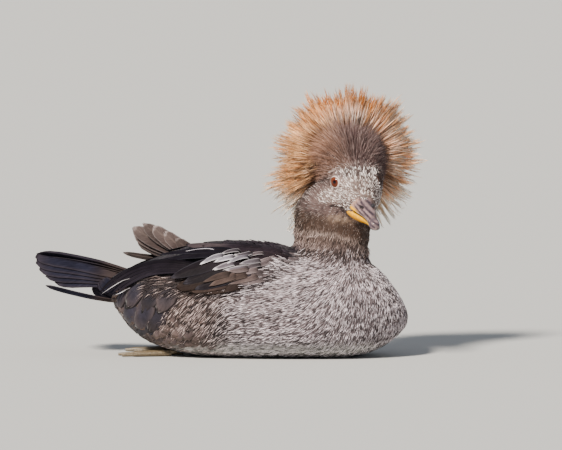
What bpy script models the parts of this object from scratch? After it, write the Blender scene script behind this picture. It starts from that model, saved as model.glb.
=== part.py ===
"""A female hooded merganser afloat, life size, as a still museum model resting on its belly.

The body's length runs along X with the breast at +X, the bird's left is +Y and the floor is z = 0.
Tables are in millimetres, and MM turns them into Blender's metres.
"""

import math
import random

import bmesh
import bpy
from mathutils import Matrix, Vector

MM = 0.001
GAP = 0.35  # clearance that neighbouring pieces keep
random.seed(14)

# Torso, from the rump to the breast: x, bottom, top, half width, height of the widest line
TORSO_STATIONS = [
    (-109.0, 47.0, 57.0, 6.0, 52.0),
    (-105.0, 36.0, 61.0, 17.0, 50.0),
    (-98.5, 25.0, 64.5, 26.5, 47.0),
    (-88.0, 14.5, 68.5, 35.0, 43.0),
    (-74.0, 7.0, 73.5, 43.0, 40.0),
    (-56.0, 2.2, 80.0, 49.0, 37.0),
    (-36.0, -1.0, 85.0, 53.0, 35.0),
    (-10.0, -1.5, 86.0, 55.0, 34.0),
    (16.0, -1.5, 82.5, 55.0, 34.0),
    (40.0, -1.5, 78.5, 52.5, 34.5),
    (62.0, -1.4, 77.0, 48.5, 35.0),
    (79.0, 0.6, 73.0, 42.5, 35.5),
    (92.0, 5.5, 64.0, 34.5, 35.0),
    (102.0, 12.0, 52.0, 25.5, 33.0),
    (109.0, 19.0, 41.0, 16.5, 30.5),
    (112.6, 25.0, 32.5, 6.5, 28.8),
]
TORSO_SIDES = 26
TORSO_RINGS = 24
BACK_ROUND = 2.15  # superellipse powers of the section above and below the widest line
BELLY_ROUND = 2.6

# Neck column, upwards: z, centre x, centre y, half length along X, half width along Y
NECK_STATIONS = [
    (56.0, 58.0, 0.0, 31.0, 31.0),
    (70.0, 56.0, 0.0, 28.5, 28.5),
    (79.0, 55.0, -0.5, 27.0, 26.0),
    (88.0, 56.4, -1.0, 27.6, 25.0),
    (98.0, 57.5, -2.0, 29.0, 25.0),
    (108.0, 57.5, -3.0, 29.0, 25.0),
    (117.0, 59.0, -5.0, 26.5, 23.5),
    (127.0, 62.5, -7.0, 21.0, 18.0),
    (133.0, 66.0, -8.0, 13.0, 11.0),
]
NECK_SIDES = 20
NECK_RINGS = 12

# Head: its own axes are forward, left and up from the middle of the skull
SKULL_PLACE = (73.0, -9.0, 131.0)
HEAD_TURN = 69.8  # degrees to the bird's right
HEAD_NOD = 19.6  # degrees down
HEAD_ROLL = 0.0
# forward, bottom, top, half width, height of the widest line
SKULL_STATIONS = [
    (-36.0, -8.0, 10.0, 9.0, 1.0),
    (-30.0, -18.0, 19.0, 18.0, -1.0),
    (-18.0, -25.0, 26.0, 23.0, -3.0),
    (-4.0, -27.0, 27.5, 24.0, -4.5),
    (8.0, -26.0, 23.0, 21.5, -6.0),
    (19.0, -23.5, 14.0, 17.0, -8.0),
    (27.0, -20.5, 7.0, 12.5, -9.5),
    (33.0, -18.0, 2.5, 9.2, -9.5),
]
SKULL_SIDES = 20
SKULL_RINGS = 13
SKULL_ROUND = 2.2

# Cut that parts head from neck: a point on it and its tilt about Y in degrees
THROAT_CUT = {"point": (60.0, 0.0, 90.0), "tilt": 4.0}

EYE = {"forward": 12.0, "side": 15.4, "up": 3.9, "radius": 5.2}
LID = {"ring": 4.5, "thick": 1.05, "out": 2.6}

# Bill, in the head's axes: forward, bottom, top, half width
UPPER_BILL = [
    (22.0, -11.5, 0.5, 9.6),
    (29.0, -11.2, 1.8, 9.4),
    (35.0, -10.6, 1.0, 8.6),
    (42.0, -9.6, -1.2, 6.9),
    (50.0, -8.9, -3.2, 5.2),
    (57.0, -8.6, -4.2, 4.3),
    (63.0, -8.9, -4.2, 4.2),
    (68.0, -10.3, -5.1, 3.5),
    (70.8, -11.0, -7.4, 1.8),
]
LOWER_BILL = [
    (22.0, -19.0, -12.1, 9.0),
    (29.0, -19.2, -11.75, 8.8),
    (37.0, -17.6, -10.85, 7.4),
    (48.0, -14.4, -9.55, 5.1),
    (57.0, -12.3, -9.1, 3.7),
    (64.0, -11.6, -9.5, 2.6),
]
BILL_SIDES = 14
NOSTRIL = {"forward": 42.0, "side": 5.2, "up": -3.6, "long": 2.6, "high": 1.1, "deep": 2.4}
MOUTH_LINE = {"from": 17.0, "to": 30.0, "up": -11.8, "high": 0.7, "deep": 1.6}

# Crest: a puff of locks that spring from a core behind the crown
CREST_CENTRE = (-17.0, 1.0, 8.0)  # head axes
CREST_CORE = (20.0, 26.0, 27.5)  # half sizes along forward, left and up
NAPE_CENTRE = (-36.0, 0.0, -4.0)
NAPE_CORE = (11.0, 25.0, 25.0)
CREST_ROOT = 17.0  # distance of a lock's root from the centre
LOCK_WIDE = 6.8
LOCK_THICK = 2.0
# tilt back in degrees, first and last angle round the head, number of locks, reach from the centre
CREST_TIERS = [
    (-42.0, 42.0, 138.0, 8, 41.0),
    (-20.0, 5.0, 175.0, 14, 48.0),
    (0.0, -12.0, 192.0, 22, 52.5),
    (19.0, -22.0, 202.0, 23, 54.5),
    (38.0, -30.0, 210.0, 18, 52.0),
    (60.0, -36.0, 216.0, 11, 48.0),
    (82.0, -40.0, 200.0, 6, 45.0),
]
# The same for the locks of the nape, on each side below the crest's
NAPE_TIERS = [
    (-2.0, -60.0, -14.0, 6, 58.0),
    (-2.0, 194.0, 240.0, 6, 58.0),
    (24.0, -70.0, -10.0, 6, 52.0),
    (24.0, 190.0, 250.0, 6, 52.0),
    (50.0, -100.0, 280.0, 9, 40.0),
]

# Surface that the folded wings lie on: x, top, half width, height of the widest line
MANTLE_STATIONS = [
    (-122.0, 69.0, 20.0, 44.0),
    (-108.0, 72.0, 27.0, 43.0),
    (-98.0, 75.0, 33.0, 42.5),
    (-86.0, 78.5, 39.5, 42.0),
    (-72.0, 82.5, 46.0, 40.5),
    (-54.0, 86.5, 51.5, 38.0),
    (-34.0, 89.5, 54.5, 36.0),
    (-8.0, 90.5, 57.0, 35.0),
    (18.0, 87.0, 57.0, 35.0),
    (46.0, 82.0, 52.5, 36.0),
]
# Wing's fleshy part as seen from the side: x, lower edge, upper edge
WING_PAD = [
    (-60.0, 64.0, 71.0),
    (-50.0, 58.0, 76.0),
    (-32.0, 51.0, 79.0),
    (-10.0, 46.0, 79.5),
    (12.0, 45.0, 77.0),
    (30.0, 48.0, 72.0),
    (40.0, 55.0, 63.0),
]
# Wing feathers by group: root, bend and tip as (x, z) on the mantle for the first feather, the same steps
# to the next one, number, width, lift of the first, and the turn of the blade's width in degrees
WING_GROUPS = {
    "primaries": {
        "path": [(-30.0, 68.0), (-78.0, 70.0), (-113.0, 44.5)],
        "step": [(-1.0, -1.8), (1.5, -1.7), (3.4, -0.2)],
        "count": 5, "wide": 8.5, "lift": 0.4, "thick": 0.7,
    },
    "secondaries": {
        "path": [(6.0, 58.0), (-22.0, 57.5), (-52.0, 55.5)],
        "step": [(6.0, -1.6), (6.5, -1.9), (7.5, -1.7)],
        "count": 3, "wide": 12.5, "lift": 1.6, "thick": 0.7,
    },
    "tertials": {
        "path": [(8.0, 76.0), (-32.0, 76.0), (-70.0, 70.5)],
        "step": [(4.0, -3.4), (5.0, -4.0), (8.0, -4.3)],
        "count": 4, "wide": 13.0, "lift": 3.4, "thick": 0.7,
    },
    "coverts": {
        "path": [(20.0, 66.0), (2.0, 66.5), (-18.0, 65.0)],
        "step": [(4.4, -2.2), (5.2, -2.6), (6.0, -3.0)],
        "count": 4, "wide": 12.0, "lift": 3.2, "thick": 0.7,
    },
    "scapulars": {
        "path": [(26.0, 75.0), (4.0, 77.0), (-22.0, 77.5)],
        "step": [(3.6, -1.2), (4.6, -2.0), (7.0, -3.0)],
        "count": 3, "wide": 13.0, "lift": 4.4, "thick": 0.7,
    },
}
VANE_PARTS = 4  # lengths that a wing or tail feather is made of
LIFT_STEP = 1.05  # each feather of a group lies this far over the next

# Left wing's raised tertials in body axes: each has its tip and width
RAISED_FAN = {
    "root": (-46.0, 39.5, 71.5),
    "tips": [
        (-99.0, 40.0, 91.0, 14.0), (-91.0, 37.5, 93.5, 14.0), (-81.0, 35.0, 91.5, 13.0),
        (-72.0, 33.0, 87.0, 12.0), (-94.0, 44.0, 81.0, 13.0), (-106.0, 45.0, 72.5, 5.0),
    ],
    "thick": 0.8,
}

# Tail: a tented fan of rectrices in two halves
TAIL = {
    "root": (-88.0, 0.0, 56.5),
    "length": 76.0,
    "rise": 13.0,  # degrees above level along the middle
    "pairs": 5,
    "spread": 17.0,  # degrees from the middle to the outermost feather
    "tent": 33.0,  # degrees that each half slopes down
    "wide": 16.5,
    "thick": 0.9,
    "rounding": 0.24,  # share by which the outermost feathers are shorter
    "splay": 5.0,  # extra degrees that the right outermost feather hangs
}

# Tucked foot, right side: points in body axes and radii
FOOT = {
    "shin": [(-36.0, -15.0, 13.0), (-50.0, -17.0, 8.0), (-62.0, -18.0, 3.4)],
    "shin_radius": 2.5,
    "toes": [
        [(-62.0, -18.0, 2.6), (-78.0, -13.5, 2.2), (-93.0, -11.0, 1.4)],
        [(-62.0, -18.0, 2.6), (-82.0, -18.5, 2.2), (-101.0, -19.5, 1.4)],
        [(-62.0, -18.0, 2.6), (-79.0, -23.5, 2.2), (-97.0, -28.5, 1.4)],
    ],
    "hind_toe": [(-61.0, -17.0, 2.6), (-57.0, -11.5, 1.9), (-53.5, -9.5, 1.3)],
    "toe_radius": 2.3,
    "web_thick": 1.3,
}

COLOURS = {
    "torso": (0.34, 0.27, 0.23), "neck": (0.36, 0.28, 0.22), "head": (0.30, 0.25, 0.23),
    "crest": (0.62, 0.38, 0.20), "bill_upper": (0.13, 0.11, 0.12), "bill_lower": (0.90, 0.55, 0.06),
    "eye": (0.30, 0.07, 0.03), "wing": (0.10, 0.08, 0.08), "tail": (0.09, 0.075, 0.08),
    "foot": (0.30, 0.25, 0.12),
}


def clear_scene():
    for obj in list(bpy.data.objects):
        bpy.data.objects.remove(obj)


def new_collection(name):
    collection = bpy.data.collections.new(name)
    bpy.context.scene.collection.children.link(collection)
    return collection


def material(name, roughness=0.7):
    made = bpy.data.materials.new(name)
    made.use_nodes = True
    shader = made.node_tree.nodes["Principled BSDF"]
    shader.inputs["Base Color"].default_value = (*COLOURS[name], 1.0)
    shader.inputs["Roughness"].default_value = roughness
    shader.inputs["Metallic"].default_value = 0.0
    return made


def spline(rows, column, x):
    """The table's column at x, by a Catmull-Rom curve through its rows, which are in order of column 0."""
    keys = [row[0] for row in rows]
    if x <= keys[0]:
        return rows[0][column]
    if x >= keys[-1]:
        return rows[-1][column]
    i = max(k for k in range(len(keys) - 1) if keys[k] <= x)
    low, high = max(i - 1, 0), min(i + 2, len(keys) - 1)
    width = keys[i + 1] - keys[i]
    t = (x - keys[i]) / width
    a, b = rows[i][column], rows[i + 1][column]
    slope_a = (b - rows[low][column]) / (keys[i + 1] - keys[low]) * width
    slope_b = (rows[high][column] - a) / (keys[high] - keys[i]) * width
    return (
        a * (1 + 2 * t) * (1 - t) ** 2 + slope_a * t * (1 - t) ** 2
        + b * t * t * (3 - 2 * t) - slope_b * t * t * (1 - t)
    )


def spaced(rows, count):
    """Values of column 0 spread evenly over the table's rows, so that close rows get close rings."""
    last = len(rows) - 1
    found = []
    for n in range(count):
        place = n * last / (count - 1)
        i = min(int(place), last - 1)
        found.append(rows[i][0] + (rows[i + 1][0] - rows[i][0]) * (place - i))
    return found


def mesh_object(name, bm, collection, place=None):
    """A closed mesh in metres from a bmesh in millimetres, moved by place, with its faces turned out."""
    if place is not None:
        bmesh.ops.transform(bm, matrix=place, verts=bm.verts)
    bmesh.ops.scale(bm, vec=(MM, MM, MM), verts=bm.verts)
    bmesh.ops.recalc_face_normals(bm, faces=bm.faces)
    mesh = bpy.data.meshes.new(name)
    bm.to_mesh(mesh)
    bm.free()
    obj = bpy.data.objects.new(name, mesh)
    collection.objects.link(obj)
    return obj


def loft(name, rings, collection, place=None):
    """A closed skin over rings of equal count, its ends drawn to their middles."""
    bm = bmesh.new()
    rows = [[bm.verts.new(p) for p in ring] for ring in rings]
    sides = len(rings[0])
    for near, far in zip(rows, rows[1:]):
        for i in range(sides):
            j = (i + 1) % sides
            bm.faces.new((near[i], near[j], far[j], far[i]))
    for ring in (rows[0], rows[-1]):
        middle = bm.verts.new(sum((v.co for v in ring), Vector()) / sides)
        for i in range(sides):
            bm.faces.new((ring[i], ring[(i + 1) % sides], middle))
    return mesh_object(name, bm, collection, place)


def section(x, bottom, top, half, widest, sides, upper_round, lower_round):
    """A ring across X: a superellipse with its widest line at its own height."""
    ring = []
    for i in range(sides):
        angle = 2 * math.pi * i / sides
        across, up = math.cos(angle), math.sin(angle)
        power = 2 / (upper_round if up >= 0 else lower_round)
        y = half * math.copysign(abs(across) ** power, across)
        reach = (top - widest) if up >= 0 else (widest - bottom)
        ring.append(Vector((x, y, widest + reach * math.copysign(abs(up) ** power, up))))
    return ring


def head_matrix():
    """Places the head's axes (forward, left, up) in the body's."""
    turn = Matrix.Rotation(math.radians(-HEAD_TURN), 4, "Z")
    nod = Matrix.Rotation(math.radians(HEAD_NOD), 4, "Y")
    roll = Matrix.Rotation(math.radians(HEAD_ROLL), 4, "X")
    return Matrix.Translation(SKULL_PLACE) @ turn @ nod @ roll


def boolean(obj, operation, other, solver="EXACT"):
    """Applies one Boolean with an object or a whole collection, and removes what it used."""
    modifier = obj.modifiers.new("boolean", "BOOLEAN")
    modifier.operation = operation
    modifier.solver = solver
    used = [other]
    if isinstance(other, bpy.types.Collection):
        modifier.operand_type = "COLLECTION"
        modifier.collection = other
        used = list(other.objects)
    else:
        modifier.object = other
    bpy.context.view_layer.update()
    graph = bpy.context.evaluated_depsgraph_get()
    result = bpy.data.meshes.new_from_object(obj.evaluated_get(graph))
    obj.modifiers.remove(modifier)
    obj.data = result
    for piece in used:
        bpy.data.objects.remove(piece)
    if isinstance(other, bpy.types.Collection):
        bpy.data.collections.remove(other)


def keep_largest(obj):
    """Leaves only the biggest closed surface."""
    bm = bmesh.new()
    bm.from_mesh(obj.data)
    unseen, islands = set(bm.faces), []
    while unseen:
        island, edge = set(), [unseen.pop()]
        while edge:
            face = edge.pop()
            island.add(face)
            near = {f for e in face.edges for f in e.link_faces} & unseen
            unseen -= near
            edge.extend(near)
        islands.append(island)
    biggest = max(islands, key=lambda faces: sum(f.calc_area() for f in faces))
    drop = [f for f in bm.faces if f not in biggest]
    bmesh.ops.delete(bm, geom=drop, context="FACES")
    bm.to_mesh(obj.data)
    bm.free()


def grown(obj, collection, by=GAP):
    """A copy of a piece swollen along its normals, to cut a neighbour clear of it."""
    bm = bmesh.new()
    bm.from_mesh(obj.data)
    bm.normal_update()
    moves = [(v, v.normal * by * MM) for v in bm.verts]
    for v, move in moves:
        v.co += move
    mesh = bpy.data.meshes.new(obj.name + "_cutter")
    bm.to_mesh(mesh)
    bm.free()
    made = bpy.data.objects.new(obj.name + "_cutter", mesh)
    made.hide_render = True
    made.display_type = "WIRE"
    collection.objects.link(made)
    return made


def slab(name, point, tilt, above, collection):
    """A big block that ends at the tilted throat cut, on one side of it."""
    bm = bmesh.new()
    bmesh.ops.create_cube(bm, size=1.0)
    size = 160.0
    shift = (size / 2 + GAP / 2) * (1 if above else -1)
    bmesh.ops.scale(bm, vec=(size, size, size), verts=bm.verts)
    bmesh.ops.translate(bm, vec=(0, 0, shift), verts=bm.verts)
    place = Matrix.Translation(point) @ Matrix.Rotation(math.radians(tilt), 4, "Y")
    return mesh_object(name, bm, collection, place)


def make_torso(collection):
    rings = []
    for x in spaced(TORSO_STATIONS, TORSO_RINGS):
        bottom, top, half, widest = (spline(TORSO_STATIONS, c, x) for c in (1, 2, 3, 4))
        ring = section(x, bottom, top, half, widest, TORSO_SIDES, BACK_ROUND, BELLY_ROUND)
        for point in ring:
            point.z = max(point.z, 0.0)  # the belly is pressed flat where it rests
        rings.append(ring)
    return loft("torso", rings, collection)


def make_neck_column(collection):
    rings = []
    for z in spaced(NECK_STATIONS, NECK_RINGS):
        cx, cy, along, across = (spline(NECK_STATIONS, c, z) for c in (1, 2, 3, 4))
        ring = []
        for i in range(NECK_SIDES):
            angle = 2 * math.pi * i / NECK_SIDES
            ring.append(Vector((cx + along * math.cos(angle), cy + across * math.sin(angle), z)))
        rings.append(ring)
    return loft("neck", rings, collection)


def make_skull(collection):
    rings = []
    for f in spaced(SKULL_STATIONS, SKULL_RINGS):
        bottom, top, half, widest = (spline(SKULL_STATIONS, c, f) for c in (1, 2, 3, 4))
        rings.append(section(f, bottom, top, half, widest, SKULL_SIDES, SKULL_ROUND, SKULL_ROUND))
    return loft("head", rings, collection, head_matrix())


def eye_place(side):
    return head_matrix() @ Matrix.Translation((EYE["forward"], side * EYE["side"], EYE["up"]))


def eye_facing(side):
    """Turns +Z out of the socket: sideways, a little forward and up."""
    out = Vector((0.36, side, 0.10)).normalized()
    return out.to_track_quat("Z", "Y").to_matrix().to_4x4()


def ball(name, radius, place, collection):
    bm = bmesh.new()
    bmesh.ops.create_uvsphere(bm, u_segments=16, v_segments=10, radius=radius)
    return mesh_object(name, bm, collection, place)


def lid_ring(name, side, collection):
    """The rim of the eyelids, a turned ring on the face round the eye."""
    bm = bmesh.new()
    around, tube = 18, 6
    rows = []
    for i in range(around):
        turn = Matrix.Rotation(2 * math.pi * i / around, 4, "Z")
        row = []
        for j in range(tube):
            angle = 2 * math.pi * j / tube
            x = LID["ring"] + LID["thick"] * math.cos(angle)
            row.append(bm.verts.new(turn @ Vector((x, 0, LID["out"] + LID["thick"] * math.sin(angle)))))
        rows.append(row)
    for i in range(around):
        for j in range(tube):
            a, b = rows[i], rows[(i + 1) % around]
            bm.faces.new((a[j], b[j], b[(j + 1) % tube], a[(j + 1) % tube]))
    return mesh_object(name, bm, collection, eye_place(side) @ eye_facing(side))


def make_mouth_line(collection):
    """The crease that runs back from the corners of the bill into the cheeks."""
    bm = bmesh.new()
    bmesh.ops.create_cube(bm, size=1.0)
    length = MOUTH_LINE["to"] - MOUTH_LINE["from"]
    bmesh.ops.scale(bm, vec=(length, 60.0, MOUTH_LINE["high"]), verts=bm.verts)
    middle = (MOUTH_LINE["from"] + MOUTH_LINE["to"]) / 2
    bmesh.ops.translate(bm, vec=(middle, 0, MOUTH_LINE["up"]), verts=bm.verts)
    cutter = mesh_object("mouth_line", bm, collection, head_matrix())
    rings = []
    for f in spaced(SKULL_STATIONS, SKULL_RINGS):
        bottom, top, half, widest = (spline(SKULL_STATIONS, c, f) for c in (1, 2, 3, 4))
        inner = half - MOUTH_LINE["deep"]
        rings.append(section(f, bottom, top, inner, widest, SKULL_SIDES, SKULL_ROUND, SKULL_ROUND))
    keep = loft("mouth_depth", rings, collection, head_matrix())
    boolean(cutter, "DIFFERENCE", keep)
    return cutter


def bill_rings(rows, upper):
    """Rings of a bill half: the upper is an arch over a flat edge, the lower a shallow trough below one."""
    rings = []
    for f, bottom, top, half in rows:
        ring = []
        for i in range(BILL_SIDES):
            angle = 2 * math.pi * i / BILL_SIDES
            across, up = math.cos(angle), math.sin(angle)
            flat = (up < 0) if upper else (up > 0)
            edge, far = (bottom, top) if upper else (top, bottom)
            reach = far - edge
            if flat:
                z = edge + 0.06 * reach * (1 - abs(up))
            else:
                z = edge + 0.06 * reach + 0.94 * reach * abs(up) ** 0.9
            width = math.copysign(abs(across) ** 0.75, across)
            ring.append(Vector((f, half * width, z)))
        rings.append(ring)
    return rings


def refined(rows, extra):
    """The table with extra rows between its own, on the smooth curve."""
    keys = []
    for a, b in zip(rows, rows[1:]):
        keys += [a[0] + (b[0] - a[0]) * n / (extra + 1) for n in range(extra + 1)]
    keys.append(rows[-1][0])
    return [(f, *(spline(rows, c, f) for c in (1, 2, 3))) for f in keys]


def make_nostrils(collection):
    """Two slots right through the upper bill's sides, ending in its middle wall."""
    made = []
    for side in (-1, 1):
        bm = bmesh.new()
        bmesh.ops.create_uvsphere(bm, u_segments=12, v_segments=8, radius=1.0)
        bmesh.ops.scale(bm, vec=(NOSTRIL["long"], NOSTRIL["deep"], NOSTRIL["high"]), verts=bm.verts)
        place = head_matrix() @ Matrix.Translation((NOSTRIL["forward"], side * NOSTRIL["side"], NOSTRIL["up"]))
        made.append(mesh_object("nostril", bm, collection, place))
    return made


def strip(points, normals, halves, thick, edge=0.62, camber=0.0):
    """A flat blade along points: six corners a station, its two faces split into like triangles."""
    bm = bmesh.new()
    rows = []
    last = len(points) - 1
    for i, (p, n) in enumerate(zip(points, normals)):
        ahead = (points[min(i + 1, last)] - points[max(i - 1, 0)]).normalized()
        n = (n - ahead * n.dot(ahead)).normalized()
        side = ahead.cross(n)
        half = halves[i]
        h, e = thick / 2, thick * edge / 2
        drop = n * camber * half
        left, right = p - side * half - drop, p + side * half - drop
        row = (left + n * e, p + n * h, right + n * e, right - n * e, p - n * h, left - n * e)
        rows.append([bm.verts.new(v) for v in row])
    for a, b in zip(rows, rows[1:]):
        for j in range(2):
            k = 5 - j
            bm.faces.new((a[j], a[j + 1], b[j + 1]))
            bm.faces.new((a[j], b[j + 1], b[j]))
            bm.faces.new((a[k], b[k - 1], a[k - 1]))
            bm.faces.new((a[k], b[k], b[k - 1]))
        for j, k in ((2, 3), (5, 0)):
            bm.faces.new((a[j], a[k], b[k]))
            bm.faces.new((a[j], b[k], b[j]))
    for row in (rows[0], rows[-1]):
        bm.faces.new((row[0], row[1], row[4], row[5]))
        bm.faces.new((row[1], row[2], row[3], row[4]))
    return bm


def bent(points, count):
    """Points of a smooth curve through a root, a bend and a tip."""
    a, b, c = points
    b = 2 * b - (a + c) / 2  # the curve passes through the bend itself
    found = []
    for i in range(count + 1):
        t = i / count
        found.append(a * (1 - t) ** 2 + b * 2 * t * (1 - t) + c * t * t)
    return found


def feather_halves(wide, count):
    """Half widths of a flight feather from its quill to its rounded tip."""
    shape = []
    for i in range(count + 1):
        t = i / count
        grow = min(1.0, 0.45 + 1.7 * t)
        tip = math.sqrt(max(0.0, 1 - max(0.0, (t - 0.72) / 0.28) ** 2))
        shape.append(wide / 2 * grow * max(tip, 0.16))
    return shape


def lock(root, tip, facing, wide, thick, bend):
    """A tapered four-sided lock from root to tip, bowed by bend towards facing."""
    bm = bmesh.new()
    along = tip - root
    side = along.cross(facing).normalized()
    up = side.cross(along).normalized()
    shares = ((0.0, 0.45), (0.52, 1.0), (0.84, 0.66))
    rows = []
    for t, w in shares:
        p = root + along * t + up * bend * 4 * t * (1 - t)
        row = (p - side * wide / 2 * w, p + up * thick / 2 * w, p + side * wide / 2 * w, p - up * thick / 2 * w)
        rows.append([bm.verts.new(v) for v in row])
    for a, b in zip(rows, rows[1:]):
        for j in range(4):
            k = (j + 1) % 4
            bm.faces.new((a[j], a[k], b[k]))
            bm.faces.new((a[j], b[k], b[j]))
    end = bm.verts.new(tip)
    for j in range(4):
        bm.faces.new((rows[-1][j], rows[-1][(j + 1) % 4], end))
    bm.faces.new(tuple(reversed(rows[0])))
    return bm


def crest_direction(angle, tilt):
    """Unit vector in the head's axes: angle goes round from the left over the crown, tilt leans back."""
    a, t = math.radians(angle), math.radians(tilt)
    return Vector((-math.sin(t), math.cos(t) * math.cos(a), math.cos(t) * math.sin(a)))


def crest_core(name, centre, sizes, collection):
    bm = bmesh.new()
    bmesh.ops.create_uvsphere(bm, u_segments=18, v_segments=12, radius=1.0)
    bmesh.ops.scale(bm, vec=sizes, verts=bm.verts)
    bmesh.ops.translate(bm, vec=centre, verts=bm.verts)
    return mesh_object(name, bm, collection, head_matrix())


def crest_locks(tiers, centre, pieces):
    centre = Vector(centre)
    for tier, (tilt, first, last, count, reach) in enumerate(tiers):
        for i in range(count):
            share = (i + 0.5 * (tier % 2)) / max(count - 1, 1)
            angle = first + (last - first) * min(share, 1.0) + random.uniform(-1.2, 1.2)
            lean = tilt + random.uniform(-2.5, 2.5)
            out = crest_direction(angle, lean)
            facing = crest_direction(angle, lean + 90)
            made = lock(
                centre + out * CREST_ROOT, centre + out * reach * random.uniform(0.94, 1.04), facing,
                LOCK_WIDE * random.uniform(0.85, 1.1), LOCK_THICK, random.uniform(0.4, 1.6),
            )
            mesh_object(f"lock_{tier}_{i}", made, pieces, head_matrix())


def make_crest(collection):
    core = crest_core("crest", CREST_CENTRE, CREST_CORE, collection)
    pieces = new_collection("crest_locks")
    crest_core("nape", NAPE_CENTRE, NAPE_CORE, pieces)
    crest_locks(CREST_TIERS, CREST_CENTRE, pieces)
    crest_locks(NAPE_TIERS, NAPE_CENTRE, pieces)
    boolean(core, "UNION", pieces, "MANIFOLD")
    return core


def mantle(x, z, side, lift):
    """Point and outward normal on the surface that the folded wing's feathers lie on."""
    top, half, widest = (spline(MANTLE_STATIONS, c, x) for c in (1, 2, 3))
    reach = (top - widest) if z >= widest else widest

    def width(xx, zz):
        top, half, widest = (spline(MANTLE_STATIONS, c, xx) for c in (1, 2, 3))
        reach = (top - widest) if zz >= widest else widest
        power = BACK_ROUND if zz >= widest else BELLY_ROUND
        return half * max(0.02, 1 - min(abs((zz - widest) / reach), 0.995) ** power) ** (1 / power)

    y = width(x, z)
    step = 0.5
    slope_x = (width(x + step, z) - width(x - step, z)) / (2 * step)
    slope_z = (width(x, z + step) - width(x, z - step)) / (2 * step)
    normal = Vector((-slope_x, 1.0, -slope_z)).normalized()
    point = Vector((x, y, z)) + normal * lift
    if side < 0:
        point.y, normal.y = -point.y, -normal.y
    return point, normal


def make_wing_pad(name, side, collection):
    """The wing's arm and hand, a flat mass on the torso's side that the feathers spring from."""
    rings = []
    for x in spaced(WING_PAD, 9):
        low, high = spline(WING_PAD, 1, x), spline(WING_PAD, 2, x)
        outer, inner = [], []
        steps = 4
        for i in range(steps + 1):
            t = i / steps
            z = low + (high - low) * t
            rise = 2.2 - 1.0 * (2 * t - 1) ** 4
            outer.append(mantle(x, z, side, rise)[0])
            inner.append(mantle(x, z, side, -9.0)[0])
        rings.append(outer + inner[::-1])
    return loft(name, rings, collection)


def wing_feathers(pieces, side, groups):
    for name, group in groups.items():
        for i in range(group["count"]):
            lift = group["lift"] + LIFT_STEP * (group["count"] - 1 - i)
            path = [Vector((p[0] + s[0] * i, p[1] + s[1] * i)) for p, s in zip(group["path"], group["step"])]
            flat = bent(path, VANE_PARTS)
            points, normals = [], []
            for n, p in enumerate(flat):
                point, normal = mantle(p.x, p.y, side, 0.6 + (lift - 0.6) * min(1.0, n / 2))
                points.append(point)
                normals.append(normal)
            bm = strip(points, normals, feather_halves(group["wide"], VANE_PARTS), group["thick"], camber=0.10)
            mesh_object(f"{name}_{i}", bm, pieces)


def make_wing(name, side, collection, torso, cutters):
    pad = make_wing_pad(name, side, collection)
    pieces = new_collection(name + "_feathers")
    wing_feathers(pieces, side, WING_GROUPS)
    if side > 0:
        raised_fan(pieces)
    boolean(pad, "UNION", pieces, "MANIFOLD")
    boolean(pad, "DIFFERENCE", grown(torso, cutters), "MANIFOLD")
    keep_largest(pad)
    return pad


def raised_fan(pieces):
    """The far wing's tertials, lifted off the back in a loose fan."""
    root = Vector(RAISED_FAN["root"])
    for i, (x, y, z, wide) in enumerate(RAISED_FAN["tips"]):
        tip = Vector((x, y, z))
        start = root + Vector((1.5 * i, 0.0, -0.4 * i))
        bend = (start + tip) / 2 + Vector((-2.0, 0.0, -2.5))
        points = bent([start, bend, tip], VANE_PARTS)
        normals = [Vector((0.15, -0.85, 0.35))] * (VANE_PARTS + 1)
        bm = strip(points, normals, feather_halves(wide, VANE_PARTS), RAISED_FAN["thick"], camber=-0.12)
        mesh_object(f"raised_{i}", bm, pieces)


def tail_feather(angle, drop, length, level):
    """Points and normals of one rectrix: angle out from the middle, drop down the tent, level in the stack."""
    rise = math.radians(TAIL["rise"])
    out = math.radians(angle)
    points, normals = [], []
    start = Vector(TAIL["root"])
    tent = math.radians(TAIL["tent"])
    side = math.copysign(1.0, angle)
    fall = abs(math.sin(out)) * math.tan(tent) + drop
    ahead = Vector((-math.cos(out) * math.cos(rise), math.sin(out), math.sin(rise) - fall)).normalized()
    normal = Vector((math.sin(rise), side * math.sin(tent), math.cos(tent)))
    for n in range(VANE_PARTS + 1):
        t = n / VANE_PARTS
        bow = math.sin(math.pi * t) * 2.0
        points.append(start + ahead * length * t + normal * (level + bow))
        normals.append(normal)
    return points, normals


def make_tail(collection, torso, cutters):
    bm = bmesh.new()
    bmesh.ops.create_uvsphere(bm, u_segments=12, v_segments=8, radius=1.0)
    bmesh.ops.scale(bm, vec=(17.0, 12.0, 7.0), verts=bm.verts)
    bmesh.ops.translate(bm, vec=(-101.0, 0.0, 55.5), verts=bm.verts)
    root = mesh_object("tail", bm, collection)
    pieces = new_collection("rectrices")
    pairs = TAIL["pairs"]
    for side in (-1, 1):
        for i in range(pairs):
            share = (i + 0.35) / (pairs - 0.65)
            drop = math.tan(math.radians(TAIL["splay"])) if (side < 0 and i == pairs - 1) else 0.0
            length = TAIL["length"] * (1 - TAIL["rounding"] * share ** 2)
            points, normals = tail_feather(side * TAIL["spread"] * share, drop, length, -1.25 * i)
            made = strip(points, normals, feather_halves(TAIL["wide"], VANE_PARTS), TAIL["thick"], camber=0.06)
            mesh_object(f"rectrix_{side}_{i}", made, pieces)
    boolean(root, "UNION", pieces, "MANIFOLD")
    boolean(root, "DIFFERENCE", grown(torso, cutters), "MANIFOLD")
    keep_largest(root)
    return root


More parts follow.
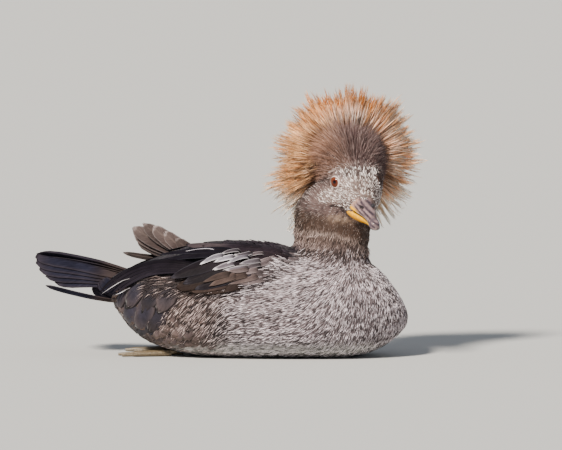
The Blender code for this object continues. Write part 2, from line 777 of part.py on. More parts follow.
def tube(name, points, radius, end_share, collection):
    """A tapered round limb through three points."""
    line = bent([Vector(p) for p in points], 5)
    sides = 8
    rings = []
    for i, p in enumerate(line):
        ahead = (line[min(i + 1, 5)] - line[max(i - 1, 0)]).normalized()
        across = ahead.cross(Vector((0, 0, 1))).normalized()
        up = across.cross(ahead)
        r = radius * (1 - (1 - end_share) * i / 5)
        ring = []
        for k in range(sides):
            angle = 2 * math.pi * k / sides
            ring.append(p + across * r * math.cos(angle) + up * r * math.sin(angle))
        rings.append(ring)
    return loft(name, rings, collection)


def make_foot(name, side, collection, torso, cutters):
    def flip(points):
        return [Vector((x, -side * y, z)) for x, y, z in points]

    shin = tube(name, flip(FOOT["shin"]), FOOT["shin_radius"], 0.9, collection)
    pieces = new_collection(name + "_pieces")
    for i, toe in enumerate(FOOT["toes"]):
        tube(f"toe_{i}", flip(toe), FOOT["toe_radius"], 0.45, pieces)
    tube("hind_toe", flip(FOOT["hind_toe"]), FOOT["toe_radius"] * 0.7, 0.5, pieces)
    for i, (a, b) in enumerate(zip(FOOT["toes"], FOOT["toes"][1:])):
        one, two = bent(flip(a), 4), bent(flip(b), 4)
        middle = [(p + q) / 2 for p, q in zip(one, two)][1:4]
        halves = [(p - q).length / 2 for p, q in zip(one, two)][1:4]
        up = [Vector((0, 0, 1))] * len(middle)
        mesh_object(f"web_{i}", strip(middle, up, halves, FOOT["web_thick"], edge=1.0), pieces)
    boolean(shin, "UNION", pieces)
    boolean(shin, "DIFFERENCE", grown(torso, cutters))
    floor = slab("floor_cut", (-70.0, 0.0, -GAP / 2), 0.0, True, cutters)
    boolean(shin, "INTERSECT", floor)
    keep_largest(shin)
    return shin


def duplicate(obj, name, collection):
    copy = bpy.data.objects.new(name, obj.data.copy())
    collection.objects.link(copy)
    return copy


def make_head_and_neck(collection, cutters, torso):
    """Skull and neck column fused, then parted at the throat."""
    whole = make_skull(collection)
    boolean(whole, "UNION", make_neck_column(cutters))
    neck = duplicate(whole, "neck", collection)
    boolean(whole, "INTERSECT", slab("above", THROAT_CUT["point"], THROAT_CUT["tilt"], True, cutters))
    boolean(neck, "INTERSECT", slab("below", THROAT_CUT["point"], THROAT_CUT["tilt"], False, cutters))
    boolean(neck, "DIFFERENCE", grown(torso, cutters))
    keep_largest(neck)
    return whole, neck


def make_eyes(collection, cutters, head):
    eyes = []
    for side, name in ((-1, "eye_right"), (1, "eye_left")):
        boolean(head, "UNION", lid_ring("lid", side, cutters))
        boolean(head, "DIFFERENCE", ball("socket", EYE["radius"] + GAP, eye_place(side), cutters))
        eyes.append(ball(name, EYE["radius"], eye_place(side), collection))
    keep_largest(head)
    return eyes


def make_bill(collection, cutters, head):
    upper = loft("bill_upper", bill_rings(refined(UPPER_BILL, 1), True), collection, head_matrix())
    lower = loft("bill_lower", bill_rings(refined(LOWER_BILL, 1), False), collection, head_matrix())
    for nostril in make_nostrils(cutters):
        boolean(upper, "DIFFERENCE", nostril)
    for half in (upper, lower):
        boolean(half, "DIFFERENCE", grown(head, cutters))
        keep_largest(half)
    return upper, lower


def centre_on_floor(collection):
    """Moves the whole bird so that the middle of its box's underside is the origin."""
    corners = [v.co for obj in collection.objects for v in obj.data.vertices]
    middle_x = (min(c.x for c in corners) + max(c.x for c in corners)) / 2
    middle_y = (min(c.y for c in corners) + max(c.y for c in corners)) / 2
    for obj in collection.objects:
        obj.data.transform(Matrix.Translation((-middle_x, -middle_y, 0.0)))


def finish(obj, made, angle=40.0):
    obj.data.materials.clear()
    obj.data.materials.append(made)
    obj.data.shade_smooth()
    obj.data.set_sharp_from_angle(angle=math.radians(angle))


def main():
    clear_scene()
    bird = new_collection("hooded_merganser")
    cutters = new_collection("cutters")
    torso = make_torso(bird)
    head, neck = make_head_and_neck(bird, cutters, torso)
    eyes = make_eyes(bird, cutters, head)
    upper, lower = make_bill(bird, cutters, head)
    boolean(head, "DIFFERENCE", make_mouth_line(cutters))
    keep_largest(head)
    crest = make_crest(bird)
    boolean(crest, "DIFFERENCE", grown(head, cutters), "MANIFOLD")
    boolean(crest, "DIFFERENCE", grown(neck, cutters), "MANIFOLD")
    keep_largest(crest)
    wings = [make_wing("wing_right", -1, bird, torso, cutters), make_wing("wing_left", 1, bird, torso, cutters)]
    tail = make_tail(bird, torso, cutters)
    feet = [make_foot("foot_right", -1, bird, torso, cutters), make_foot("foot_left", 1, bird, torso, cutters)]
    for obj, name, roughness in (
        (torso, "torso", 0.75), (neck, "neck", 0.75), (head, "head", 0.75), (crest, "crest", 0.8),
        (upper, "bill_upper", 0.35), (lower, "bill_lower", 0.35), (tail, "tail", 0.5),
    ):
        finish(obj, material(name, roughness))
    for group, name, roughness in ((eyes, "eye", 0.08), (wings, "wing", 0.55), (feet, "foot", 0.45)):
        made = material(name, roughness)
        for obj in group:
            finish(obj, made)
    centre_on_floor(bird)


main()
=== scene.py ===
import math

import bmesh
import bpy
import numpy as np
from mathutils import Matrix, Vector
from mathutils.bvhtree import BVHTree


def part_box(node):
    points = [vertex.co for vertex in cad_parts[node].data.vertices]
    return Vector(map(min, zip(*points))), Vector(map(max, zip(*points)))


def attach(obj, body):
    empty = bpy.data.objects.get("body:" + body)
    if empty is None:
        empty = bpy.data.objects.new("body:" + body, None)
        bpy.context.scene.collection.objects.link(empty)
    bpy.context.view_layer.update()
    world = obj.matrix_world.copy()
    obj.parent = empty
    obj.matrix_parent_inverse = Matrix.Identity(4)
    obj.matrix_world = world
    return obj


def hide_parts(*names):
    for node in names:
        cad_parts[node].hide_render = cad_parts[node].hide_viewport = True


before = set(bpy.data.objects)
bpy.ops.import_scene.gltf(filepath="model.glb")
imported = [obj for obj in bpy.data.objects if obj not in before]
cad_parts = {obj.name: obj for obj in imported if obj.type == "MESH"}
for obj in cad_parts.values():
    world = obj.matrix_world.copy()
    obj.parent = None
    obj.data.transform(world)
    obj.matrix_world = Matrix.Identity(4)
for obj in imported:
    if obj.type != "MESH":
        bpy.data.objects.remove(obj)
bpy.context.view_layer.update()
mm = 0.001
draw = np.random.default_rng(4)
torsoLow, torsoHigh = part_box("torso")
# The part's tables count from the torso's middle, the frame from the box's
tableShift = np.array([torsoLow.x / mm + 109.0, (torsoLow.y + torsoHigh.y) / 2 / mm, 0.0])

camera = {"azimuth": 6.0, "elevation": 3.5, "aim": (0.040, 0.0, 0.097), "distance": 3.47, "lens": 300.0}
headPose = {"place": (73.0, -9.0, 131.0), "turn": 69.8, "nod": 19.6}


def makeCamera():
    a, e = math.radians(camera["azimuth"]), math.radians(camera["elevation"])
    back = Vector((math.sin(a) * math.cos(e), -math.cos(a) * math.cos(e), math.sin(e)))
    bpy.ops.object.camera_add(location=Vector(camera["aim"]) + back * camera["distance"])
    made = bpy.context.object
    made.rotation_mode = "QUATERNION"
    made.rotation_quaternion = (-back).to_track_quat("-Z", "Y")
    made.data.lens = camera["lens"]
    made.data.sensor_width = 36.0
    made.data.clip_end = 60.0
    bpy.context.scene.camera = made


turn = Matrix.Rotation(math.radians(-headPose["turn"]), 4, "Z")
nod = Matrix.Rotation(math.radians(headPose["nod"]), 4, "Y")
head = Matrix.Translation(Vector((np.array(headPose["place"]) + tableShift) * mm)) @ turn @ nod
headTurn = np.array(head.to_3x3())
headPlace = np.array(head.translation)


def toHead(points):
    return (points - headPlace) @ headTurn / mm


def fromHead(points):
    return np.asarray(points, float) * mm @ headTurn.T + headPlace


def tablePlace(points):
    # Millimetres counted as in the part's tables
    return points / mm - tableShift


def place(points):
    return (points + tableShift) * mm


def ramp(count):
    return np.linspace(0, 1, count)


def unit(v):
    return v / np.maximum(np.linalg.norm(v, axis=-1, keepdims=True), 1e-9)


def smooth(value, low, high):
    t = np.clip((value - low) / (high - low), 0.0, 1.0)
    return t * t * (3 - 2 * t)


def blendColour(a, b, share):
    return np.asarray(a) * (1 - share[..., None]) + np.asarray(b) * share[..., None]


def painted(palette, base, *layers):
    # Layers of (tone, share) over base, each tone a name in the palette or a colour
    colours = [palette[tone] if isinstance(tone, str) else tone for tone in (base, *(tone for tone, _ in layers))]
    made = colours[0]
    for colour, (_, share) in zip(colours[1:], layers):
        made = blendColour(made, colour, share)
    return made


def read(items, key, width=3, kind=np.float32):
    values = np.empty(len(items) * width, kind)
    items.foreach_get(key, values)
    return values.reshape(-1, width)


def setPoints(mesh, points):
    mesh.vertices.foreach_set("co", points.astype(np.float32).ravel())
    mesh.update()


def setColours(mesh, colours):
    rgba = np.ones((len(mesh.vertices), 4), np.float32)
    rgba[:, :3] = colours
    mesh.attributes.new("coat", "FLOAT_COLOR", "POINT").data.foreach_set("color", rgba.ravel())


def newObject(name, mesh):
    made = bpy.data.objects.new(name, mesh)
    bpy.context.scene.collection.objects.link(made)
    return made


def meshObject(name, points, faces, material, colours, uvs=None, bake=None):
    mesh = bpy.data.meshes.new(name)
    faces = np.ascontiguousarray(faces, np.int32)
    mesh.vertices.add(len(points))
    mesh.vertices.foreach_set("co", points.astype(np.float32).ravel())
    mesh.loops.add(faces.size)
    mesh.loops.foreach_set("vertex_index", faces.ravel())
    mesh.polygons.add(len(faces))
    mesh.polygons.foreach_set("loop_start", np.arange(len(faces), dtype=np.int32) * faces.shape[1])
    mesh.update(calc_edges=True)
    mesh.polygons.foreach_set("use_smooth", np.ones(len(faces), bool))
    setColours(mesh, colours)
    for label, places in (("vane", uvs), ("OFBake", bake)):
        if places is not None:
            layer = mesh.uv_layers.new(name=label)
            layer.data.foreach_set("uv", places[faces.ravel()].astype(np.float32).ravel())
    mesh.materials.append(material)
    made = newObject(name, mesh)
    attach(made, "root")
    print(name, len(faces))
    return made


def ringQuads(rings, around):
    return [(i * around + k, i * around + (k + 1) % around, (i + 1) * around + (k + 1) % around, (i + 1) * around + k)
            for i in range(rings - 1) for k in range(around)]


# Markings: one function gives skin and coat the same colours

tones = {
    "breast": (0.360, 0.285, 0.300), "flank": (0.060, 0.046, 0.052), "flankBrown": (0.190, 0.125, 0.105),
    "back": (0.020, 0.016, 0.021), "rump": (0.022, 0.019, 0.026), "belly": (0.72, 0.69, 0.67),
    # A dark tone on the head's underside is painted shade under the chin
    "neck": (0.165, 0.110, 0.094), "throat": (0.080, 0.048, 0.036), "collar": (0.50, 0.38, 0.33),
    "cheek": (0.138, 0.090, 0.084), "face": (0.260, 0.185, 0.165), "forehead": (0.120, 0.085, 0.080),
    "crown": (0.085, 0.050, 0.048), "brown": (0.215, 0.120, 0.088), "nape": (0.105, 0.070, 0.055),
    # The darkest tone here is painted shade for the creases behind the bill's corner
    "chin": (0.42, 0.29, 0.21), "gape": (0.012, 0.008, 0.009),
}
# Start and end of the creases behind the corner of the bill, on the head, which are darkened with painted shade
creases = (((24.5, 12.0, -12.4), (17.5, 19.5, -13.2)), ((23.5, 13.0, -15.0), (20.5, 16.5, -17.2)))


def browLine(f):
    # Height on the head where the short face feathers end and the crown's begin
    return np.interp(f, [-30, -8.4, 0, 5, 8, 11, 14, 20], [-14, -5.5, 0.5, 5, 9.2, 12.8, 15, 18.5])


def collarLine(x):
    # Height along the neck of the fold below the head
    return np.interp(x, [20, 31, 45, 61, 76, 82], [95, 95, 93.5, 92, 87, 80])


def ridgeShare(x, z):
    # One on the dark back, nothing on the pale sides
    start = np.interp(x, [-60, -20, 10, 34], [60, 64, 71, 70])
    ahead = smooth(x, 33.0, 38.0) + smooth(z, 82.0, 87.0) * smooth(x, 26.0, 30.0)
    return smooth(z - start, 0.0, 3.0) * smooth(-x, -46.0, -36.0) * np.clip(1 - ahead, 0, 1)


# How much painted shade falls in the creases behind the bill's corner
def creaseShadeShare(h):
    share = np.zeros(len(h))
    q = h * (1, 0, 1) + np.abs(h) * (0, 1, 0)
    for start, end in creases:
        a, b = np.array(start), np.array(end)
        t = np.clip(((q - a) @ (b - a)) / ((b - a) @ (b - a)), 0, 1)
        away = np.linalg.norm((q - a - t[:, None] * (b - a)) * (0.4, 0.4, 1.0), axis=1)
        share = np.maximum(share, smooth(-away, -1.15 + 0.4 * t, -0.5))
    return share


def markings(points):
    h = toHead(points)
    f, left, up = h.T
    x, _, z = tablePlace(points).T
    rear, ridge, ahead = smooth(-x, -14.0, 30.0), ridgeShare(x, z), smooth(x, 14.0, 26.0)
    patch = 0.5 + 0.5 * np.sin(x * 0.19 + z * 0.11) * np.sin(z * 0.27 - x * 0.07)
    fold = z - collarLine(x)
    body = painted(
        tones, "breast", ("flank", rear), ("flankBrown", rear * patch * 0.55), ("back", ridge),
        ("rump", smooth(-x, 84.0, 98.0)), ("belly", smooth(-z, -17.0, -7.0) * smooth(x, -70.0, -50.0)),
        ("neck", smooth(z, 66.0, 88.0) * ahead * (1 - ridge)),
        ("collar", 0.7 * smooth(fold, -3.0, -1.0) * smooth(-fold, -1.0, 0.5) * ahead),
    )
    crownTone = painted(tones, "crown", ("brown", smooth(-left, 2.0, 18.0)))
    patches = 0.5 + 0.5 * np.sin(f * 1.1 + up * 0.9) * np.sin(up * 1.3 - left * 0.8)
    chin = np.exp(-((up + 21.5) / 2.8) ** 2 - ((f - 22.0) / 3.0) ** 2)
    skull = painted(
        # The head's underside below the chin is darkened with painted shade
        tones, "cheek", ("throat", smooth(-up, 18.0, 25.0)), ("face", smooth(f, 4.0, 13.0) * smooth(up, -15.0, -7.0)),
        ("forehead", smooth(f, 6.0, 14.0) * smooth(up - 0.30 * f, 1.0, 7.0)),
        (crownTone, smooth(up - browLine(f), -1.0, 3.0)), ("nape", smooth(-f, 20.0, 30.0)),
        ("chin", np.clip(chin * patches * 1.4, 0, 1)), ("gape", creaseShadeShare(h)),
    )
    return blendColour(body, skull, smooth(fold, 0.0, 1.5) * ahead)


# Materials

looks = {  # barbs, contrast, mottle, roughness, sheen, bump, gloss
    "bodyFeathers": (26.0, 0.28, 0.25, 0.72, 0.08, 0.4, 0.15),
    "flightFeathers": (36.0, 0.38, 0.24, 0.48, 0.0, 0.35, 0.025),
    "wingCoverts": (34.0, 0.34, 0.30, 0.6, 0.02, 0.45, 0.06),
    "crestFeathers": (5.0, 0.14, 0.22, 0.6, 0.04, 0.1, 0.10),
}


def newMaterial(name):
    made = bpy.data.materials.new(name)
    made.use_nodes = True
    return made, made.node_tree, made.node_tree.nodes["Principled BSDF"]


def feed(tree, node, inputs):
    # An output is linked to the socket of that name or number, and anything else is its value
    for key, value in inputs.items():
        if isinstance(value, bpy.types.NodeSocket):
            tree.links.new(value, node.inputs[key])
        else:
            node.inputs[key].default_value = value


def addNode(tree, kind, inputs=None, **settings):
    made = tree.nodes.new("ShaderNode" + kind)
    for key, value in settings.items():
        setattr(made, key, value)
    feed(tree, made, inputs or {})
    return made.outputs


def makeBarbGroup():
    # Turns a vane's own map into barb lines: darker grooves across it and a fine height
    group = bpy.data.node_groups.new("featherBarbs", "ShaderNodeTree")
    for name, way, kind in (("Colour", "INPUT", "Color"), ("Barbs", "INPUT", "Float"), ("Contrast", "INPUT", "Float"),
                            ("Mottle", "INPUT", "Float"), ("Colour", "OUTPUT", "Color"), ("Height", "OUTPUT", "Float")):
        group.interface.new_socket(name, in_out=way, socket_type="NodeSocket" + kind)
    inward, outward = group.nodes.new("NodeGroupInput").outputs, group.nodes.new("NodeGroupOutput")
    split = addNode(group, "SeparateXYZ", {0: addNode(group, "UVMap", uv_map="vane")["UV"]})
    wide = addNode(group, "Math", {0: split["X"]}, operation="ABSOLUTE")[0]
    lean = addNode(group, "Math", {0: wide, 1: -0.22, 2: split["Y"]}, operation="MULTIPLY_ADD")[0]  # out and to the tip
    times = addNode(group, "Math", {0: lean, 1: inward["Barbs"]}, operation="MULTIPLY")[0]
    join = addNode(group, "CombineXYZ", {"X": times, "Y": split["X"]})[0]
    lines = addNode(group, "TexNoise", {"Scale": 2.2, "Detail": 3.0, "Vector": join})["Fac"]
    spot = addNode(group, "TexCoord")["Object"]
    mottle = addNode(group, "TexNoise", {"Scale": 90.0, "Detail": 4.0, "Vector": spot})["Fac"]
    spans = {}
    for key, (source, amount) in enumerate(((lines, "Contrast"), (mottle, "Mottle"))):
        low, high = (addNode(group, "Math", {0: 1.0, 1: inward[amount]}, operation=way)[0]
                     for way in ("SUBTRACT", "ADD"))
        spans[key] = addNode(group, "MapRange", {
            "Value": source, "From Min": 0.3, "From Max": 0.7, "To Min": low, "To Max": high})[0]
    both = addNode(group, "Math", spans, operation="MULTIPLY")[0]
    tint = addNode(group, "VectorMath", {0: inward["Colour"], "Scale": both}, operation="SCALE")[0]
    feed(group, outward, {"Colour": tint, "Height": lines})
    return group


def featherMaterial(name):
    barbs, contrast, mottle, roughness, sheen, bump, gloss = looks[name]
    made, tree, shader = newMaterial(name)
    coat = addNode(tree, "Attribute", attribute_name="coat")["Color"]
    barbed = addNode(tree, "Group", node_tree=barbGroup)
    feed(tree, barbed["Colour"].node, {"Colour": coat, "Barbs": barbs, "Contrast": contrast, "Mottle": mottle})
    rise = addNode(tree, "Bump", {"Strength": bump, "Distance": 0.0004, "Height": barbed["Height"]})["Normal"]
    feed(tree, shader, {"Base Color": barbed["Colour"], "Normal": rise, "Roughness": roughness,
                        "Specular IOR Level": gloss, "Sheen Weight": sheen, "Sheen Roughness": 0.4})
    return made


barbGroup = makeBarbGroup()
coatMaterial, quillMaterial, softMaterial, crestMaterial = map(featherMaterial, looks)


# Skin: torso, neck and head become one surface, drawn in by the coat's depth

skinShape = {"voxel": 0.0016, "rounds": 14, "joinRounds": 104, "even": (0.5, -0.525), "depth": 0.0012, "swell": 0.0012,
             "merge": 0.00002, "floor": 0.0004, "shade": 0.7}


def smoothMesh(mesh, rounds, weight=None):
    # Evens the surface; every second round swells it back, so that it doesn't shrink
    co = read(mesh.vertices, "co").astype(float)
    ends = read(mesh.edges, "vertices", 2, np.int32)
    count = len(co)
    degree = np.bincount(ends.ravel(), minlength=count)[:, None]
    for turn in range(rounds):
        total = np.zeros_like(co)
        for axis in range(3):
            total[:, axis] = np.bincount(ends[:, 0], co[ends[:, 1], axis], count)
            total[:, axis] += np.bincount(ends[:, 1], co[ends[:, 0], axis], count)
        step = (total / degree - co) * skinShape["even"][turn % 2]
        co += step if weight is None else step * weight[:, None]
    setPoints(mesh, co)
    return co


def makeSkin():
    bpy.ops.object.select_all(action="DESELECT")
    joined = bmesh.new()
    for name in ("torso", "neck", "head"):
        piece = bmesh.new()
        piece.from_mesh(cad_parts[name].data)
        bmesh.ops.remove_doubles(piece, verts=piece.verts, dist=skinShape["merge"])
        if name == "neck":  # swollen a little, so that the gaps between the solids close
            piece.normal_update()
            for v in piece.verts:
                v.co += v.normal * skinShape["swell"]
        temp = bpy.data.meshes.new("temp")
        piece.to_mesh(temp)
        piece.free()
        joined.from_mesh(temp)
        bpy.data.meshes.remove(temp)
    mesh = bpy.data.meshes.new("skin")
    joined.to_mesh(mesh)
    joined.free()
    skin = newObject("skin", mesh)
    bpy.context.view_layer.objects.active = skin
    skin.select_set(True)
    remesh = skin.modifiers.new("remesh", "REMESH")
    remesh.mode = "VOXEL"
    remesh.voxel_size = skinShape["voxel"]
    bpy.ops.object.modifier_apply(modifier="remesh")
    mesh = skin.data
    x, _, z = tablePlace(smoothMesh(mesh, skinShape["rounds"])).T
    join = smooth(z, 58.0, 70.0) * smooth(-z, -112.0, -94.0) * smooth(x, 5.0, 30.0)
    co = smoothMesh(mesh, skinShape["joinRounds"], join)
    co -= read(mesh.vertices, "normal") * skinShape["depth"]
    co[:, 2] = np.maximum(co[:, 2], skinShape["floor"])
    setPoints(mesh, co)
    mesh.polygons.foreach_set("use_smooth", np.ones(len(mesh.polygons), bool))
    setColours(mesh, markings(co) * skinShape["shade"])
    mesh.uv_layers.new(name="OFBake")
    mesh.materials.append(coatMaterial)
    bpy.ops.object.mode_set(mode="EDIT")
    bpy.ops.mesh.select_all(action="SELECT")
    bpy.ops.uv.smart_project(angle_limit=math.radians(75), island_margin=0.004)
    bpy.ops.object.mode_set(mode="OBJECT")
    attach(skin, "root")
    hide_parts("torso", "neck", "head")
    return skin


def surfaceData(mesh):
    return read(mesh.vertices, "co").astype(float), read(mesh.vertices, "normal").astype(float)


def bakeSpots(mesh):
    # Each vertex's place on the skin's unwrap
    spots = np.zeros((len(mesh.vertices), 2))
    spots[read(mesh.loops, "vertex_index", 1, np.int32)[:, 0]] = read(mesh.uv_layers["OFBake"].data, "uv", 2)
    return spots


skin = makeSkin()
print("skin", len(skin.data.polygons))
skinPoints, skinNormals = surfaceData(skin.data)
skinSpots = bakeSpots(skin.data)
skinTree = BVHTree.FromPolygons([tuple(c) for c in skinPoints], [tuple(f.vertices) for f in skin.data.polygons])


def nearestVertex(points):
    # Index of the skin vertex nearest to each point
    found = np.empty(len(points), int)
    for i, p in enumerate(points):
        corners = skin.data.polygons[skinTree.find_nearest(p)[2]].vertices
        gaps = [(skinPoints[c] - p) @ (skinPoints[c] - p) for c in corners]
        found[i] = corners[int(np.argmin(gaps))]
    return found


def spotsAt(points):
    return skinSpots[nearestVertex(points)]


# Eyes: a wet ball with a red-brown iris, and a lid that closes the gap to the skin

eye = {
    "forward": 12.0, "side": 15.4, "up": 3.9, "inset": 4.3, "back": 1.9,  # the far eye sits deeper
    "radius": 5.2, "pupil": 13.5, "iris": 62.0, "opening": 3.9, "rim": 9.0,
    "facing": {-1: (0.60, 1.0, 0.12), 1: (0.44, 1.0, 0.12)}, "look": {-1: (0.97, 1.0, 0.33), 1: (0.20, 1.0, 0.12)},
    "red": (0.050, 0.008, 0.004), "glow": (0.150, 0.040, 0.015), "ring": (0.012, 0.006, 0.006),
    "black": (0.002, 0.002, 0.003), "lid": (0.62, 0.52, 0.48), "lash": (0.02, 0.012, 0.012),
}


def eyeCentre(side):
    far = side > 0
    return np.array([eye["forward"] - eye["back"] * far, side * (eye["side"] - eye["inset"] * far), eye["up"]])


def aimed(key, side):
    return unit(np.array(eye[key][side]) * (1, side, 1))


def eyeMaterial():
    made, tree, shader = newMaterial("eyeball")
    look = addNode(tree, "Attribute", attribute_name="coat")["Color"]
    feed(tree, shader, {"Base Color": look, "Roughness": 0.12, "IOR": 1.4, "Specular IOR Level": 0.15,
                        "Coat Weight": 0.55, "Coat IOR": 1.35, "Coat Roughness": 0.02})
    return made


def makeEye(name, side, material):
    bpy.ops.object.select_all(action="DESELECT")
    bpy.ops.mesh.primitive_uv_sphere_add(segments=96, ring_count=64, radius=eye["radius"])
    ball = bpy.context.object
    co = read(ball.data.vertices, "co").astype(float)
    tall = np.degrees(np.arccos(np.clip(co[:, 2] / eye["radius"], -1, 1)))
    around = np.arctan2(co[:, 1], co[:, 0])
    streak = 0.5 + 0.5 * np.sin(around * 37) * np.sin(around * 23 + 1.3)
    iris = painted(eye, "red", ("glow", (0.3 + 0.6 * streak) * smooth(tall, 12, 30)))
    setColours(ball.data, painted(eye, "ring", (iris, smooth(-tall, -eye["iris"] - 3, -eye["iris"] + 2)),
                                  ("black", smooth(-tall, -eye["pupil"] - 1.5, -eye["pupil"] + 1.5))))
    turn = np.array(Vector(aimed("look", side)).to_track_quat("Z", "Y").to_matrix())
    setPoints(ball.data, fromHead(co @ turn.T + eyeCentre(side)))
    bpy.ops.object.shade_smooth()
    ball.name = name
    ball.data.materials.append(material)
    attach(ball, "root")
    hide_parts("eye_right" if side < 0 else "eye_left")


def makeLid(name, side):
    # A collar from the opening's edge on the ball out to the skin round it
    around, rings = 72, 12
    centre, gaze = eyeCentre(side), aimed("facing", side)
    up = unit(np.array([0.0, 0.0, 1.0]) - gaze * gaze[2])
    ahead = np.cross(up, gaze) * side
    towards = Vector(headTurn @ -gaze)
    points = np.zeros((rings, around, 3))
    for i in range(around):
        a = 2 * math.pi * i / around
        out = ahead * math.cos(a) + up * math.sin(a)
        opening = eye["opening"] * (1 + 0.10 * max(math.cos(a), 0) ** 6)  # a little point at the front corner
        for k in range(rings):
            t = max(k - 1, 0) / (rings - 2)
            r = opening + (eye["rim"] - opening) * t
            ball = math.sqrt(max(eye["radius"] ** 2 - min(r, 4.6) ** 2, 1.0)) + 0.32 * (k > 0)
            start = fromHead(centre + out * r + gaze * 20.0)
            hit = skinTree.ray_cast(Vector(start), towards, 0.04)[0]
            flat = ball if hit is None else float((toHead(np.array(hit)[None])[0] - centre) @ gaze)
            share = float(smooth(np.array(t), 0.05, 1.0))
            points[k, i] = centre + out * r + gaze * (ball * (1 - share) + (flat - 0.35) * share)
    faces = np.array(ringQuads(rings, around))
    if side > 0:
        faces = faces[:, [0, 3, 2, 1]]
    ring = np.repeat(np.arange(rings), around)
    world = fromHead(points.reshape(-1, 3))
    colour = painted(eye, markings(world) * 0.8, ("lid", smooth(-ring.astype(float), -3.0, -1.5)),
                     ("lash", (ring == 0).astype(float)))
    spots = spotsAt(world)
    made = meshObject(name, world, faces, coatMaterial, colour, np.zeros((len(world), 2)), spots)
    normals = surfaceData(made.data)[1]
    outward = np.sign((normals * (headTurn @ gaze)).sum(-1, keepdims=True))
    keep = ring >= 2
    return world[keep], (normals * outward)[keep], spots[keep]


def scattered(mesh, points, normals, spots, each):
    # Extra places for roots inside the faces
    mesh.calc_loop_triangles()
    corners = np.repeat(read(mesh.loop_triangles, "vertices", 3, np.int32), each, 0)
    share = draw.dirichlet((1, 1, 1), len(corners))[..., None]
    most = corners[np.arange(len(corners)), share[..., 0].argmax(1)]
    return (points[corners] * share).sum(1), unit((normals[corners] * share).sum(1)), spots[most]


def joinedWith(more):
    return [np.concatenate(pair) for pair in zip((coatPoints, coatNormals, coatSpots), more)]


eyeSkin = eyeMaterial()
coatPoints, coatNormals, coatSpots = skinPoints, skinNormals, skinSpots
coatPoints, coatNormals, coatSpots = joinedWith(scattered(skin.data, skinPoints, skinNormals, skinSpots, 2))
for label, side in (("Right", -1), ("Left", 1)):
    makeEye("eye" + label, side, eyeSkin)
    coatPoints, coatNormals, coatSpots = joinedWith(makeLid("lid" + label, side))
print("eyes")


# Feathers and strokes

tuftPatch = 0.003  # size of a tuft's patch on the skin's unwrap
mostTriangles = 190000  # in one piece of strands
vaneForm = {"curl": -0.02, "sink": 0.0004, "rootDark": 0.55, "cup": 0.3, "lengths": (0.85, 1.15),
            "widths": (0.88, 1.12), "rises": (0.75, 1.25)}
hairForm = {"lengths": (0.75, 1.2), "rises": (0.6, 1.3), "sink": 0.0003, "dark": (0.045, 0.030, 0.028)}


def seats(spacing, mask):
    # Roots spread evenly over the part of the skin that mask picks
    x, _, z = tablePlace(coatPoints).T
    chosen = np.flatnonzero(mask(coatPoints, x, z))
    chosen = chosen[draw.permutation(len(chosen))]
    places, grid = coatPoints.tolist(), np.floor(coatPoints / spacing).astype(int).tolist()
    cells, kept = {}, []
    steps = [(x, y, z) for x in (-1, 0, 1) for y in (-1, 0, 1) for z in (-1, 0, 1)]
    for i in chosen.tolist():
        (px, py, pz), (a, b, c) = places[i], grid[i]
        if not any((px - q[0]) ** 2 + (py - q[1]) ** 2 + (pz - q[2]) ** 2 < spacing * spacing
                   for x, y, z in steps for q in cells.get((a + x, b + y, c + z), ())):
            cells.setdefault((a, b, c), []).append(places[i])
            kept.append(i)
    return np.array(kept)


def lieOf(points, normals):
    # Direction that the coat lies in: back from the bill, down the neck and breast, along the body to the tail
    f, _, up = toHead(points).T
    x, _, z = tablePlace(points).T
    onHead = (smooth(z, 97.0, 108.0) * smooth(x, 12.0, 26.0))[:, None]
    onNeck = (smooth(z, 72.0, 92.0) * smooth(x, 12.0, 34.0))[:, None]
    fall = 0.10 - 0.25 * smooth(-z, -78.0, -58.0) - 1.5 * smooth(x, 22.0, 84.0)
    fall = fall - 1.1 * smooth(-x, 6.0, 26.0) * smooth(-z, -58.0, -40.0) * smooth(x, -92.0, -70.0)
    body = np.stack([-1.0 + 0.75 * smooth(x, 45.0, 95.0), np.zeros(len(x)), fall], -1)
    lie = body * (1 - onNeck) + np.array([-0.25, 0.0, -1.0]) * onNeck
    rise = smooth(up, 2.0, 12.0) * 1.3 - 0.15 - 1.3 * smooth(-f, -6.0, 18.0) * smooth(-up, -6.0, 6.0)
    rise = rise - 0.5 * smooth(-up, 13.0, 22.0)
    lie = lie * (1 - onHead) + (-headTurn[:, 0] + headTurn[:, 2] * rise[:, None]) * onHead
    lie -= normals * (lie * normals).sum(-1, keepdims=True)
    return unit(lie)


def vaneGrid(columns, rows):
    # Faces of a closed thin vane: a top and an underside that share their rim
    top = np.arange(columns * rows).reshape(rows, columns)
    under = top.copy()
    under[1:-1, 1:-1] = np.arange((columns - 2) * (rows - 2)).reshape(rows - 2, columns - 2) + columns * rows
    faces = []
    for r in range(rows - 1):
        for c in range(columns - 1):
            a, b, d, e = top[r, c], top[r, c + 1], top[r + 1, c + 1], top[r + 1, c]
            faces += [(a, b, d), (a, d, e)]
            a, b, d, e = under[r, c], under[r, c + 1], under[r + 1, c + 1], under[r + 1, c]
            faces += [(a, d, b), (a, e, d)]
    return np.array(faces)


def manyOf(name, points, faces, paint, uv, spots, material):
    # One mesh of many small shapes with the same faces; points and paint are N x vertices x 3
    count, each = points.shape[:2]
    allFaces = (faces[None] + (np.arange(count) * each)[:, None, None]).reshape(-1, 3)
    uvs = np.broadcast_to(uv[None], (count, each, 2)).reshape(-1, 2)
    bake = spots[:, None] + (uv * (0.5, 1.0) - (0.0, 0.5))[None] * tuftPatch
    return meshObject(name, points.reshape(-1, 3), allFaces, material, paint.reshape(-1, 3), uvs,
                      bake.reshape(-1, 2))


